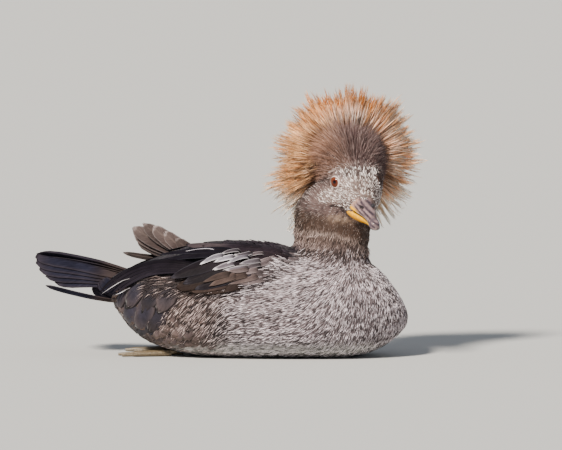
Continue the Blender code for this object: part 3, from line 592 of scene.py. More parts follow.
def vanes(name, lines, ups, halves, material, colours, spots=None, sides=None, columns=11, cup=0.12, thick=0.0004,
          ridge=0.0, fray=0.0, tints=None, rim=None, shaft=None):
    # lines, sides, ups: N x rows x 3; halves: N x rows half widths; colours: N x rows x 3
    count, rows = lines.shape[:2]
    ahead = unit(np.gradient(lines, axis=1))
    sides = unit(np.cross(ahead, ups)) if sides is None else sides
    spots = spotsAt(lines[:, 0]) if spots is None else spots
    across, along = np.linspace(-1, 1, columns), ramp(rows)
    a = across[None, None, :, None]
    w = halves[:, :, None, None]
    top = lines[:, :, None] + sides[:, :, None] * a * w - ups[:, :, None] * (a * a) * w * cup
    top = top + ups[:, :, None] * (np.abs(a) < 0.01) * ridge
    if fray:
        slip = draw.uniform(-1, 1, (count, 1, columns, 1)) * fray * smooth(along, 0.45, 1.0)[None, :, None, None]
        top = top + ahead[:, :, None] * slip
    low = top[:, 1:-1, 1:-1] - ups[:, 1:-1, None] * thick
    points = np.concatenate([top.reshape(count, -1, 3), low.reshape(count, -1, 3)], 1)
    uv = np.stack(np.meshgrid(across, along), -1)
    uv = np.concatenate([uv.reshape(-1, 2), uv[1:-1, 1:-1].reshape(-1, 2)])
    paint = np.repeat(colours[:, :, None], columns, 2)
    if rim:
        inner = rim.get("from", 0.62)
        edge = np.maximum(smooth(np.abs(across), inner, 1.0)[None, :], smooth(along, 0.5 + 0.5 * inner, 1.0)[:, None])
        share = edge[None] * rim["share"] * np.ones((count, 1, 1)) * np.asarray(rim.get("by", 1.0)).reshape(-1, 1, 1)
        tone = np.asarray(rim["colour"])
        paint = blendColour(paint, tone if tone.ndim == 1 else tone[:, None, None], share)
    if shaft:
        line = (np.abs(across) < 0.01)[None, :] * shaft["share"] * smooth(along, 0.0, 0.25)[:, None]
        paint = blendColour(paint, shaft["colour"], line[None])
    paint = paint * tints[:, None, None, None]
    paint = np.concatenate([paint.reshape(count, -1, 3), paint[:, 1:-1, 1:-1].reshape(count, -1, 3)], 1)
    return manyOf(name, points, vaneGrid(columns, rows), paint, uv, spots, material)


def settle(roots, lie, normals, length, climb, stations):
    # Lines that leave the root along lie, rise by climb and bend down with the skin's own curve
    t = ramp(stations)
    lines = roots[:, None] + lie[:, None] * (length[:, None] * t[None])[..., None] + normals[:, None] * climb[..., None]
    ahead = roots + lie * length[:, None] * 0.9
    drop = ((skinPoints[nearestVertex(ahead)] - ahead) * normals).sum(-1)
    drop = np.clip(drop, -0.45 * length, 0.45 * length)
    lines += normals[:, None] * (drop[:, None] * (t ** 2)[None])[..., None]
    lines[..., 2] = np.maximum(lines[..., 2], 0.0003)
    return lines


def varied(value, span, count):
    return np.broadcast_to(value, count) * draw.uniform(*span, count)


def coatFeathers(name, index, length, width, lift, material, rim=None, rows=5, fray=0.0, colourScale=1.0,
                 wander=0.16, tint=0.16):
    roots, normals = coatPoints[index], coatNormals[index]
    count = len(roots)
    lie = lieOf(roots, normals)
    lie = unit(lie + np.cross(lie, normals) * draw.normal(0, wander, count)[:, None])
    side = unit(np.cross(lie, normals))
    length = varied(length, vaneForm["lengths"], count)
    width = varied(width, vaneForm["widths"], count)
    rise = varied(lift, vaneForm["rises"], count)
    t = ramp(rows)
    climb = rise[:, None] * np.sqrt(t)[None] + (vaneForm["curl"] * length)[:, None] * (t ** 2)[None] - vaneForm["sink"]
    lines = settle(roots, lie, normals, length, climb, rows)
    shape = np.interp(t, [0, 0.3, 0.65, 0.9, 1.0], [0.35, 0.85, 1.0, 0.62, 0.22])
    shade = vaneForm["rootDark"] + (1 - vaneForm["rootDark"]) * smooth(t, 0.1, 0.7)
    colours = (markings(roots) * colourScale)[:, None] * shade[None, :, None]
    vanes(name, lines, np.repeat(normals[:, None], rows, 1), width[:, None] / 2 * shape[None], material, colours,
          coatSpots[index], np.repeat(side[:, None], rows, 1), columns=5, cup=vaneForm["cup"], thick=0.00012, fray=fray,
          tints=draw.uniform(1 - tint, 1 + tint, count), rim=rim)


def strands(name, lines, halves, colours, spots, material):
    # Closed three-sided strands, shared out over pieces
    count, stations = lines.shape[:2]
    ahead = unit(np.gradient(lines, axis=1))
    side = unit(np.cross(ahead, unit(draw.normal(size=(count, 1, 3)))))
    up = np.cross(side, ahead)
    rings = []
    for k, flat in enumerate((0.9, 0.55, 0.55)):
        angle = 2 * math.pi * k / 3
        rings.append(lines + (side * math.cos(angle) + up * math.sin(angle) * flat) * halves[..., None])
    points = np.concatenate([np.stack(rings, 2)[:, :-1].reshape(count, -1, 3), lines[:, -1:]], 1)
    last, tip = (stations - 2) * 3, (stations - 1) * 3
    faces = [(0, 2, 1)] + [face for a, b, c, d in ringQuads(stations - 1, 3) for face in ((a, b, c), (a, c, d))]
    faces = np.array(faces + [(last + k, last + (k + 1) % 3, tip) for k in range(3)])[:, ::-1]
    paint = np.concatenate([np.repeat(colours[:, :-1], 3, 1), colours[:, -1:]], 1)
    uv = np.stack([np.tile([-1.0, 0.0, 1.0], stations - 1), np.repeat(ramp(stations)[:-1], 3)], -1)
    uv = np.concatenate([uv, [[0.0, 1.0]]])
    pieces = max(1, math.ceil(count * len(faces) / mostTriangles))
    parts = [slice(k, None, pieces) for k in range(pieces)]
    return [manyOf(f"{name}{k + 1}", points[part], faces, paint[part], uv, spots[part], material)
            for k, part in enumerate(parts)]


def hairs(name, index, length, thin, stand, pale, tip, wander=0.25, stations=4, contrast=0.3, dark=None,
          often=0.5, root=0.6, gap=1.0, lock=0.0, grain=(1.7, 1.7, 1.7)):
    # Separate fine strokes that follow the lie; a share of them is pale, and those of one small lock are alike
    roots, normals = coatPoints[index], coatNormals[index]
    count = len(roots)
    lie = lieOf(roots, normals)
    lie = unit(lie + np.cross(lie, normals) * draw.normal(0, wander, count)[:, None])
    length = varied(length, hairForm["lengths"], count)
    t = ramp(stations)
    climb = varied(stand, hairForm["rises"], count)[:, None] * np.sin(t * 1.9)[None] - hairForm["sink"]
    lines = settle(roots, lie, normals, length, climb, stations)
    halves = np.interp(t, [0, 0.45, 0.8, 1], [0.8, 1.0, 0.7, 0.1])[None] * thin * draw.uniform(0.7, 1.3, (count, 1))
    base = markings(roots)[:, None] * np.interp(t, [0, 0.6], [root, 1.0])[None, :, None]
    cell = np.floor((roots + 0.0006 * np.sin(roots[:, [1, 2, 0]] * 900)) / (np.array(grain) * mm))
    cell = cell.astype(np.int64) @ np.array([7919, 104729, 1299709])
    alike = (cell * 2654435761 % 4093) / 4093 - 0.5
    light = np.broadcast_to(pale, count) * (draw.uniform(size=count) < often + 0.9 * lock * alike)
    light = light * draw.uniform(0.6, 1.0, count)
    base = base * np.where(light > 0, 1.0, gap)[:, None, None]
    base = blendColour(base, tip, light[:, None] * smooth(t, 0.1, 0.6)[None])
    if dark is not None:
        shade = np.broadcast_to(dark, count) * (draw.uniform(size=count) < 0.7) * (light < 0.01)
        base = blendColour(base, hairForm["dark"], shade[:, None])
    base = base * (draw.uniform(1 - contrast, 1 + contrast, count) * (1 + 0.8 * lock * alike))[:, None, None]
    strands(name, lines, halves, base, coatSpots[index], coatMaterial)


def eyeGap(points):
    # Distance from the nearer eye's axis
    gaps = []
    for side in (-1, 1):
        gaze = aimed("facing", side)
        gap = toHead(points) - eyeCentre(side)
        along = gap @ gaze
        gaps.append(np.linalg.norm(gap - along[:, None] * gaze, axis=1) + 50.0 * (along < 0))
    return np.minimum(*gaps)


def alongTable(table, column, x):
    # Smooth curve through a column of the table, whose first column rises
    table = np.array(table, float)
    keys, values = table[:, 0], table[:, column]
    slopes = np.gradient(values, keys)
    x = np.clip(x, keys[0], keys[-1])
    i = np.clip(np.searchsorted(keys, x, side="right") - 1, 0, len(keys) - 2)
    width = keys[i + 1] - keys[i]
    t = (x - keys[i]) / width
    a, b, sa, sb = values[i], values[i + 1], slopes[i] * width, slopes[i + 1] * width
    return a * (1 + 2 * t) * (1 - t) ** 2 + sa * t * (1 - t) ** 2 + b * t * t * (3 - 2 * t) - sb * t * t * (1 - t)


# Bill: two lofted halves with a hooked nail, slit nostrils and a soft yellow rim

bill = {
    "upper": ((21, -11.5, -1.0, 11.0), (27, -11.2, -0.6, 10.1), (34, -10.6, -0.6, 8.7), (42, -9.6, -2.0, 6.9),
              (50, -8.9, -3.7, 5.2), (57, -8.7, -4.6, 4.1), (62, -9.0, -4.6, 4.0), (66, -10.2, -5.3, 3.7),
              (68.3, -11.0, -6.6, 2.8), (69.2, -11.0, -8.4, 1.3)),
    "lower": ((20, -19.2, -12.1, 11.4), (27, -19.4, -11.75, 10.4), (36, -18.0, -10.95, 8.0), (48, -14.6, -9.55, 5.3),
              (57, -12.3, -9.1, 3.7), (64, -11.6, -9.5, 2.6)),
    "powers": {True: (1.25, 0.45), False: (0.45, 1.0)},  # of the section's curve, upwards and downwards
    "slate": (0.030, 0.020, 0.028), "mauve": (0.350, 0.235, 0.230), "dark": (0.012, 0.008, 0.010),
    "pink": (0.50, 0.29, 0.21), "yellow": (0.86, 0.42, 0.0), "orange": (0.84, 0.29, 0.0), "horn": (0.05, 0.035, 0.035),
    "nail": (0.070, 0.050, 0.060), "edge": (0.55, 0.42, 0.36),
}


def billLoft(stations, around, upper):
    # One half from its table, as a closed surface
    table = bill["upper" if upper else "lower"]
    x = table[0][0] + (table[-1][0] - table[0][0]) * np.sin(np.linspace(0, math.pi / 2, stations))
    low, top, half = (alongTable(table, c, x) for c in (1, 2, 3))
    middle = low + (top - low) * 0.22 if upper else top - (top - low) * 0.2
    rising, falling = bill["powers"][upper]
    points = np.zeros((stations, around, 3))
    for k, angle in enumerate(np.linspace(0, 2 * math.pi, around, endpoint=False)):
        c, s = np.cos(angle), np.sin(angle)
        z = middle + (top - middle) * s ** rising if s >= 0 else middle - (middle - low) * abs(s) ** falling
        points[:, k] = np.stack([x, half * (np.sign(c) * abs(c) ** 0.8), z], -1)
    ends = np.array([points[0].mean(0), points[-1].mean(0)])
    ends[1, 0] += 0.4
    faces = [face for a, b, c, d in ringQuads(stations, around) for face in ((a, b, c), (a, c, d))]
    first = stations * around
    for k in range(around):
        j = (k + 1) % around
        faces += [(first, j, k), (first + 1, first - around + k, first - around + j)]
    return np.concatenate([points.reshape(-1, 3), ends]), np.array(faces)


def billMaterial(name, gloss, polish):
    made, tree, shader = newMaterial(name)
    spot = addNode(tree, "TexCoord")["Object"]
    grain = addNode(tree, "TexNoise", {"Scale": 420.0, "Detail": 5.0, "Vector": spot})["Fac"]
    span = addNode(tree, "MapRange", {
        "Value": grain, "From Min": 0.3, "From Max": 0.7, "To Min": 0.75, "To Max": 1.25})[0]
    colour = addNode(tree, "Attribute", attribute_name="coat")["Color"]
    tint = addNode(tree, "VectorMath", {0: colour, "Scale": span}, operation="SCALE")[0]
    rise = addNode(tree, "Bump", {"Strength": 0.25, "Distance": 0.0002, "Height": grain})["Normal"]
    feed(tree, shader, {"Base Color": tint, "Normal": rise, "Roughness": 0.34, "Specular IOR Level": gloss,
                        "Coat Weight": polish, "Coat Roughness": 0.15})
    return made


def makeUpperBill():
    points, faces = billLoft(90, 56, True)
    x, y, z = points.T.copy()
    for side in (-1, 1):  # nostril slit with a raised brim
        gap = np.sqrt(((x - 42.0) / 3.4) ** 2 + (z + 3.9 - 0.10 * (x - 42.0)) ** 2)
        slit = 1.5 * np.exp(-gap ** 2 * 1.4) - 0.35 * np.exp(-((gap - 1.6) / 0.5) ** 2)
        points[:, 1] -= side * (np.sign(y) == side) * slit
    flute = np.exp(-((z - (-8.0 - 0.01 * (x - 22))) / 0.8) ** 2) * smooth(x, 30, 40) * smooth(-x, -66, -58)
    points[:, 1] *= 1 - 0.05 * flute
    nail = smooth(x, 60.0, 62.5)
    points[:, 2] += 0.25 * nail * (z > -8.0)
    points[:, 1] *= 1 + 0.03 * nail
    ridges = np.sin(z * 4.2 + np.sin(x * 0.35) * 0.8 + y * 0.8)
    points[:, 1] += np.sign(y) * 0.06 * ridges * smooth(x, 30, 38) * smooth(-x, -62, -58)
    # Mauve stripes along the bill: partly the bill's own mauve, partly painted sheen that is lighter on the ridges
    sheen = 0.5 + 0.5 * np.sin(z * 2.1 + y * 1.1 + 0.8 * np.sin(x * 0.16)) * (0.8 + 0.2 * np.sin(x * 0.5))
    streak = smooth(np.sin(z * 5.3 + np.sin(x * 0.23 + 0.8) * 1.4 + y * 0.5), 0.35, 0.95)
    # A painted shade along the groove on the bill's side
    grooveShade = np.exp(-((z + 6.9 - 0.06 * (x - 40)) / 0.5) ** 2)
    nostril = np.sqrt(((x - 42.0) / 2.6) ** 2 + ((z + 3.9) / 0.75) ** 2)
    rim = -(z - alongTable(bill["upper"], 1, x))
    colour = painted(
        bill, "slate", ("mauve", 0.30 * smooth(ridges, 0.0, 0.9) * streak + 0.62 * smooth(sheen, 0.15, 0.85)),
        ("dark", smooth(z, -1.8, 0.8) * smooth(-x, -52, -36) * 0.35),
        ("pink", smooth(-x, -37.5, -32.0) * smooth(np.abs(y), 2.5, 6.5) * 0.65),
        # The far side of the bill is darkened with painted shade
        ("dark", 0.7 * smooth(y, 3.0, 5.5) * smooth(x, 30, 34) * smooth(-x, -56, -46)),
        ("dark", 0.45 * grooveShade * smooth(x, 38, 44) * smooth(-x, -62, -56)),
        ("yellow", smooth(-x, -45.0, -35.0) * smooth(-z, 6.2, 8.2)),
        ("edge", smooth(rim, -1.7, -0.9) * smooth(x, 36, 42) * 0.5), ("dark", smooth(rim, -0.8, -0.3)),
        ("nail", nail * (0.6 + 0.4 * np.sin(x * 1.3 + z * 1.1))),
        ("dark", 0.9 * np.exp(-((x - 61.2 + 0.25 * (z + 7.0)) / 0.45) ** 2)), ("dark", smooth(-nostril, -1.7, -0.9)),
    )
    whole = meshObject("billUpper", fromHead(points), faces, billMaterial("billKeratin", 0.35, 0.10),
                       colour)
    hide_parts("bill_upper")
    return whole


def makeLowerBill():
    points, faces = billLoft(70, 40, False)
    x, _, z = points.T
    below = z - alongTable(bill["lower"], 2, x)
    colour = painted(bill, "yellow", ("orange", 0.5 * smooth(-below, 1.4, 3.6)), ("horn", smooth(x, 58.0, 65.0)),
                     ("dark", smooth(below, -0.6, -0.1) * 0.8))
    made = meshObject("billLower", fromHead(points), faces, billMaterial("billYellow", 0.14, 0.0), colour)
    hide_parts("bill_lower")
    return made


def billBase(half, upper):
    # Where the face feathers run out on to the bill: a point along the ridge, a ragged line down the sides
    points, normals = surfaceData(half.data)
    points, normals, spots = scattered(half.data, points, normals, spotsAt(points), 2)
    f, across, up = toHead(points).T
    edge = 31.5 + 5.5 * np.exp(-(across / 3.0) ** 2) - 6.0 * smooth(-up, 3.5, 7.5)
    edge = edge + np.sin(across * 2.1 + up * 1.7)
    keep = (f < edge) & (up > -11.0) & ((normals @ headTurn)[:, 2] > -0.5)
    if not upper:
        keep = (f < 21.6 + 0.5 * np.sin(up * 2.3)) & (np.abs(across) > 6.0)
    return points[keep], normals[keep], spots[keep]


for half, upper in ((makeUpperBill(), True), (makeLowerBill(), False)):
    coatPoints, coatNormals, coatSpots = joinedWith(billBase(half, upper))
print("bill")


makeCamera()

# Body coat: closed vanes below, loose barbs over them

coat = {
    "vaneGap": 0.0036, "looseGap": 0.00082, "tip": (1.0, 0.91, 0.97), "rearTip": (0.92, 0.72, 0.69), "thin": 0.00028,
    "rim": (0.20, 0.13, 0.10), "neckGap": 0.0030, "neckThin": 0.00020, "neckTip": (0.82, 0.64, 0.60),
    "cheekGap": 0.00086, "cheekThin": 0.00023, "cheekTip": (0.86, 0.75, 0.71),
    "faceGap": 0.00074, "faceThin": 0.00028, "faceTip": (1.0, 0.91, 0.87),
    "backGap": 0.0038, "backThin": 0.00030, "backTip": (0.05, 0.04, 0.05), "backRim": (0.045, 0.032, 0.042),
}


def makeBodyCoat():
    index = seats(coat["vaneGap"], lambda points, x, z: (z < 88.0) | (x < 20.0))
    x, _, z = tablePlace(coatPoints[index]).T
    front, flank, ridge = smooth(x, 0.0, 46.0), smooth(-x, 0.0, 44.0), ridgeShare(x, z)
    size = 8.8 - 1.6 * smooth(z, 60.0, 84.0) * front + 6.0 * flank + 7.0 * ridge
    wide = 5.6 - 1.2 * smooth(z, 60.0, 84.0) * front + 4.2 * flank + 5.0 * ridge
    for n in range(2):
        part = slice(n, None, 2)
        coatFeathers(
            f"bodyVanes{n + 1}", index[part], size[part] * mm, wide[part] * mm,
            0.0001 + 0.0008 * np.maximum(flank, ridge)[part], coatMaterial,
            rim={"share": 0.6, "colour": coat["rim"], "by": ((1 - ridge) * flank)[part]}, fray=0.0008, tint=0.22,
            colourScale=0.62 + 0.20 * flank[part][:, None],
        )


def makeLooseCoat():
    def breast(points, x, z):
        hidden = (z < 12.0) & (draw.uniform(size=len(x)) < 0.75)  # fewer under the belly
        return (z < 82.0) & (x > -76.0) & (ridgeShare(x, z) < 0.3) & ((z < 60.0) | (x > 2.0)) & ~hidden

    index = seats(coat["looseGap"], breast)
    x, y, z = tablePlace(coatPoints[index]).T
    rear, low = smooth(-x, 0.0, 40.0), smooth(-z, -60.0, -46.0)
    along = z * (1 - 0.5 * rear) + 0.35 * np.abs(y) + 1.6 * np.sin(x * 0.23 + y * 0.19)
    rows = 0.5 + 0.5 * np.sin(along * 2 * math.pi / 6.6)
    pale = (0.65 + 0.35 * rows) * (1 - 0.35 * rear * (1 - low))
    often = (0.44 + 0.30 * rows) * (1 - 0.4 * rear * (1 - 0.7 * low)) * smooth(x, -80.0, -64.0)
    # over the front and the lower edge of the folded wing they are longer and stand out
    wingFront = np.interp(z, [50, 58, 66, 76], [-8, 8, 20, 30])
    over = np.maximum(np.exp(-((x - wingFront) / 9.0) ** 2) * smooth(z, 48.0, 54.0),
                      smooth(z, 47.0, 52.0) * smooth(-x, -12.0, 0.0))
    often = often * (1 - 0.85 * smooth(z, 44.0, 54.0) * smooth(-x, 16.0, 36.0))
    neck = smooth(z, 64.0, 80.0) * smooth(x, 20.0, 30.0)
    often, pale = often * (1 - 0.40 * neck), pale * (1 - 0.42 * neck)
    brown = smooth(z, 40.0, 52.0) * smooth(-x, 16.0, 36.0)
    hairs("breastBarbs", index, (5.4 + 2.6 * rear + 3.5 * over) * mm, (coat["thin"] * (1 - 0.25 * rear))[:, None],
          0.0010 + 0.0032 * over, pale, blendColour(coat["tip"], coat["rearTip"], rear)[:, None],
          wander=0.10, contrast=0.2, often=often, root=0.35, gap=0.26 + 0.30 * brown, stations=3, lock=0.58,
          grain=(0.95, 0.95, 2.6))


def makeNeckCoat():
    def upper(points, x, z):
        return (z >= 76.0) & (x >= 18.0) & (z < collarLine(x) + 2.0) & (ridgeShare(x, z) < 0.3)

    index = seats(coat["neckGap"], lambda points, x, z: upper(points, x, z) & (x > 32.0))
    coatFeathers("neckVanes", index, 6.5 * mm, 4.2 * mm, 0.0001, coatMaterial, rows=4, tint=0.15,
                 wander=0.25, colourScale=0.75)
    index = seats(coat["looseGap"], upper)
    x, _, z = tablePlace(coatPoints[index]).T
    fold = collarLine(x) - z
    rows = 0.5 + 0.5 * np.sin((fold + 1.2 * np.sin(x * 0.3)) * 2 * math.pi / 5.5)
    brown = np.exp(-((x - 62.0) / 14.0) ** 2 - ((z - 82.0) / 9.0) ** 2)
    pale = (0.30 + 0.32 * rows) * (1 - 0.6 * brown) + 0.25 * smooth(-z, -90.0, -77.0)
    hairs("neckBarbs", index, 4.6 * mm, coat["neckThin"], 0.0009 + 0.0012 * smooth(-fold, -4.0, 0.0), pale,
          coat["neckTip"], wander=0.16, often=(0.35 + 0.30 * rows) * (1 - 0.4 * brown), gap=0.42,
          contrast=0.2, lock=0.85, grain=(1.2, 1.2, 2.4))


def makeHeadCoat():
    def above(points, x, z):
        clear = (toHead(points)[:, 0] < 39.0) & (eyeGap(points) > 4.7)
        return (z >= collarLine(x) + 1.0) & (z > 84.0) & (x >= 18.0) & clear

    def headSeats(spacing, wanted):
        index = seats(spacing, above)
        f, _, up = toHead(coatPoints[index]).T
        face = smooth(f, 6.5, 14.5) * smooth(up, -16.0, -7.0) * smooth(browLine(f) - up, -1.0, 2.0)
        index, face = index[wanted(face)], face[wanted(face)]
        h = toHead(coatPoints[index])
        return index, face, h[:, 0], h[:, 2], creaseShadeShare(h), smooth(eyeGap(coatPoints[index]), 5.0, 8.5)

    index, face, f, up, gape, clear = headSeats(coat["cheekGap"], lambda face: face < 0.6)
    back = smooth(-f, -20.0, 4.0)
    cheek = smooth(-up, -6.0, 2.0) * smooth(up, -26.0, -18.0)
    # Fewer pale strokes and more dark ones in those creases: painted shade
    pale = (0.20 + 0.24 * cheek + 0.40 * face) * (1 - gape)
    hairs("cheekBarbs", index, (2.2 + 3.2 * back) * (0.4 + 0.6 * clear) * mm, coat["cheekThin"], 0.0005 + 0.0009 * back,
          pale, coat["cheekTip"], wander=0.12, dark=np.maximum(0.7 * face, gape), often=0.42,
          contrast=0.42, gap=0.72, lock=0.85, grain=(1.3, 1.3, 1.3))
    index, face, f, up, gape, clear = headSeats(coat["faceGap"], lambda face: face >= 0.4)
    brow = smooth(up, -2.0, 4.0) * smooth(f, 9.0, 15.0)
    lores = np.exp(-((f - 19.0) / 5.0) ** 2 - ((up + 3.0) / 5.0) ** 2)
    hairs("faceBarbs", index, (2.6 - 0.7 * lores) * (0.5 + 0.5 * clear) * mm, coat["faceThin"], 0.0007,
          1.3 * (1 - gape), coat["faceTip"], wander=0.24, dark=np.maximum(0.60 + 0.35 * brow, gape),
          often=0.64 + 0.28 * lores, contrast=0.14, root=0.36, lock=0.95)


def makeBackCoat():
    # Small dark feathers that lie over the front ends of the wings, and dark strokes up to the neck
    index = seats(coat["looseGap"], lambda points, x, z: (ridgeShare(x, z) > 0.25) & (x > 6.0))
    near = smooth(tablePlace(coatPoints[index])[:, 0], 12.0, 24.0)
    hairs("backBarbs", index, (4.0 + 1.5 * near) * mm, coat["backThin"], 0.0006 + 0.0010 * near, 0.5, coat["backTip"],
          wander=0.12, contrast=0.35, stations=3)
    index = seats(coat["backGap"], lambda points, x, z: (ridgeShare(x, z) > 0.5) & (x > -16.0))
    x = tablePlace(coatPoints[index])[:, 0]
    coatFeathers("backVanes", index, 9.5 * mm, 6.4 * mm, 0.0012 + 0.0014 * smooth(x, -4.0, 14.0), quillMaterial,
                 rim={"share": 0.4, "colour": coat["backRim"]}, fray=0.0006, tint=0.3)


makeBodyCoat()
makeBackCoat()
makeLooseCoat()
makeNeckCoat()
makeHeadCoat()


# Crest: a dark raised crown in front, and behind it a ring of loose plumes

crest = {
    "centre": (-17.0, 1.0, 8.0), "locks": 3300, "strands": 5, "plumes": 1100, "barbs": 11,
    "dark": (0.11, 0.06, 0.045), "brown": (0.22, 0.125, 0.085), "rust": (0.33, 0.165, 0.095),
    "tawny": (0.54, 0.21, 0.050), "pale": (0.68, 0.35, 0.150), "cream": (0.84, 0.59, 0.39), "buff": (0.88, 0.52, 0.25),
    "white": (1.0, 0.94, 0.86), "frost": (0.82, 0.70, 0.68),
    "whiteTips": ((-50.0, 62.0), (-55.0, 64.0), (-28.0, 58.5), (-31.5, 59.5), (-132.0, 61.5), (-126.0, 67.0),
                  (-118.0, 60.0), (-41.0, 57.0)),  # angle and reach
}
crestCentre = fromHead(crest["centre"])
backwards = headTurn[:, 0][None]


def crestDirections(angle, tilt):
    a, t = np.radians(angle), np.radians(tilt)
    return np.stack([-np.sin(t), np.cos(t) * np.cos(a), np.cos(t) * np.sin(a)], -1) @ headTurn.T


def castOut(directions):
    # Where a ray from the crest's centre leaves the skin
    found = np.empty_like(directions)
    for i, d in enumerate(directions):
        hit = skinTree.ray_cast(Vector(crestCentre), Vector(d), 0.08)[0]
        found[i] = crestCentre + d * 0.016 if hit is None else np.array(hit)
    return found


def crestReach(angle, tilt):
    a = np.radians(angle)
    reach = np.interp(tilt, [-34, -24, -14, -4, 6, 25, 50, 84], [37, 41, 46, 52, 55.5, 56.0, 51.0, 44])
    reach = reach * (1 - 0.05 * smooth(np.sin(a), 0.7, 1.0))
    low = np.maximum(0, -np.sin(a)) * (1.6 - 1.2 * np.cos(a))
    wave = 1 + 0.026 * np.sin(a * 9 + 0.6) + 0.034 * np.sin(a * 23 + 2.1)
    return reach * (1 + 0.13 * low) * wave


def crestSpread(count, lowest, highest, tilts, spreads):
    # Angles round the ring and tilts back; above the skull they stay behind the crown's dome
    ends = (math.sin(math.radians(tilt)) for tilt in (lowest, highest))
    tilt = np.degrees(np.arcsin(draw.uniform(*ends, count)))
    angle = 90 + draw.uniform(-1, 1, count) * np.interp(tilt, tilts, spreads)
    least = -34.0 + 46.0 * smooth(np.sin(np.radians(angle)), -0.2, 0.6) + draw.uniform(0, 10.0, count)
    return angle, np.maximum(tilt, least)


def crestPaint(lines, angle, tilt, tipShare):
    # Colour by place: dark at the head, rust, tawny, and frost over the crown's top, with painted shade near the head
    # and painted light on the ring on the far side
    r = np.linalg.norm(lines - crestCentre, axis=-1) / mm
    n = len(lines)
    lift = np.sin(np.radians(angle))
    top = smooth(lift, 0.45, 0.92)[:, None]
    right = smooth(np.cos(np.radians(angle)), 0.2, 0.9)[:, None]
    mix = np.array(crest["tawny"]) * (1 - draw.uniform(0, 0.6, (n, 1, 1)))
    mix = mix + np.array(crest["pale"]) * draw.uniform(0, 0.6, (n, 1, 1))
    # Close to the head the far side keeps the dark tone as painted shade; elsewhere it is brown
    paint = painted(
        crest, "dark", ("brown", 1 - right), ("rust", smooth(r, 24.0, 31.0)),
        (mix, smooth(r - 7.0 * (1 - top), 28.0, 39.0)),
        ("brown", smooth(-tilt, 4.0, 26.0)[:, None] * smooth(-r, -38.0, -31.0)),
    )
    outer = top * smooth(r, 34.0, 42.0)
    # The far side is brightened with painted light
    paint = paint * (1 - outer[..., None] * np.array([0.20, 0.45, 0.78])) * (1 + 0.32 * right)[..., None]
    notch = 4.5 * np.exp(-((angle - 72.0) / 8.0) ** 2)[:, None]
    edge = 27.5 + 0.25 * np.maximum(tilt, 0)[:, None] - notch
    frost = np.exp(-((angle - 88.0) / 33.0) ** 2)[:, None] * smooth(r - edge, 0.0, 3.0) * smooth(edge - r, -11.0, -6.0)
    paint = painted(crest, paint, ("frost", frost * smooth(-tilt, -26.0, -12.0)[:, None] * 0.85))
    # More painted light on the far side's inner ring
    paint = paint * (1 + 0.45 * right * smooth(-r, -50.0, -38.0))[..., None]
    low = smooth(-lift, 0.25, 0.70)[:, None]
    cream = np.clip(0.75 * low + 0.45 * right + 0.25 * (1 - top), 0, 0.95) * smooth(r, 36, 47)
    return painted(
        crest, paint, ("cream", cream * draw.uniform(0.4, 1.0, (n, 1))),
        ("buff", tipShare * draw.uniform(0.2, 0.95, (n, 1))),
        ("white", tipShare * ((draw.uniform(size=(n, 1)) < 0.25 + 0.6 * low + 0.35 * right)
                              * (0.3 + 0.7 * np.maximum(low, right)))),
        ("white", (smooth(-lift, 0.45, 0.7) * (draw.uniform(size=n) < 0.6))[:, None] * smooth(r, 40.0, 48.0)),
    )


def crestStrands(name, lines, widths, spread, paint, roots, each):
    # widths: stations along the strand and its half width at each of them
    halves = np.interp(ramp(lines.shape[1]), *widths)[None] * mm * spread
    return strands(name, lines, halves, paint, np.repeat(spotsAt(roots), each, 0), crestMaterial)


def makeCrestBase():
    locks, each = crest["locks"], crest["strands"]
    angle, tilt = crestSpread(locks, -34, 84, [-34, -24, -12, 0, 8, 30, 60, 84],
                              [52, 78, 108, 143, 166, 168, 160, 155])
    out = crestDirections(angle, tilt)
    reach = crestReach(angle, tilt) * draw.uniform(0.80, 0.97, locks)
    roots = castOut(out)
    t, n = ramp(4), locks * each
    rootN = np.repeat(roots, each, 0) + draw.normal(0, 1.0, (n, 3)) * mm
    outN = np.repeat(out, each, 0)
    tipN = np.repeat(crestCentre + out * (reach * mm)[:, None], each, 0) + draw.normal(0, 1.9, (n, 3)) * mm
    tipN = tipN - outN * (draw.uniform(0, 6.0, n) * mm)[:, None]
    bow = -backwards * (draw.uniform(-1.0, 3.0, n) * mm)[:, None]
    swirl = np.repeat(unit(draw.normal(size=(locks, 3))), each, 0) * (draw.normal(0, 1.3, n) * mm)[:, None]
    s = t[None, :, None]
    rootN = rootN - outN * 0.0012
    lines = rootN[:, None] * (1 - s) + tipN[:, None] * s + (swirl + bow)[:, None] * (2 * s * (1 - s))
    spread = draw.uniform(0.75, 1.25, (n, 1))
    paint = crestPaint(lines, np.repeat(angle, each), np.repeat(tilt, each), smooth(t, 0.4, 1.0)[None] * 0.7)
    paint = paint * draw.uniform(0.75, 1.2, (n, 1, 1)) * np.repeat(draw.uniform(0.40, 1.25, locks), each)[:, None, None]
    made = crestStrands("crestBase", lines, ([0, 0.67, 1.0], [0.34, 0.32, 0.04]), spread, paint, roots, each)
    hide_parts("crest")


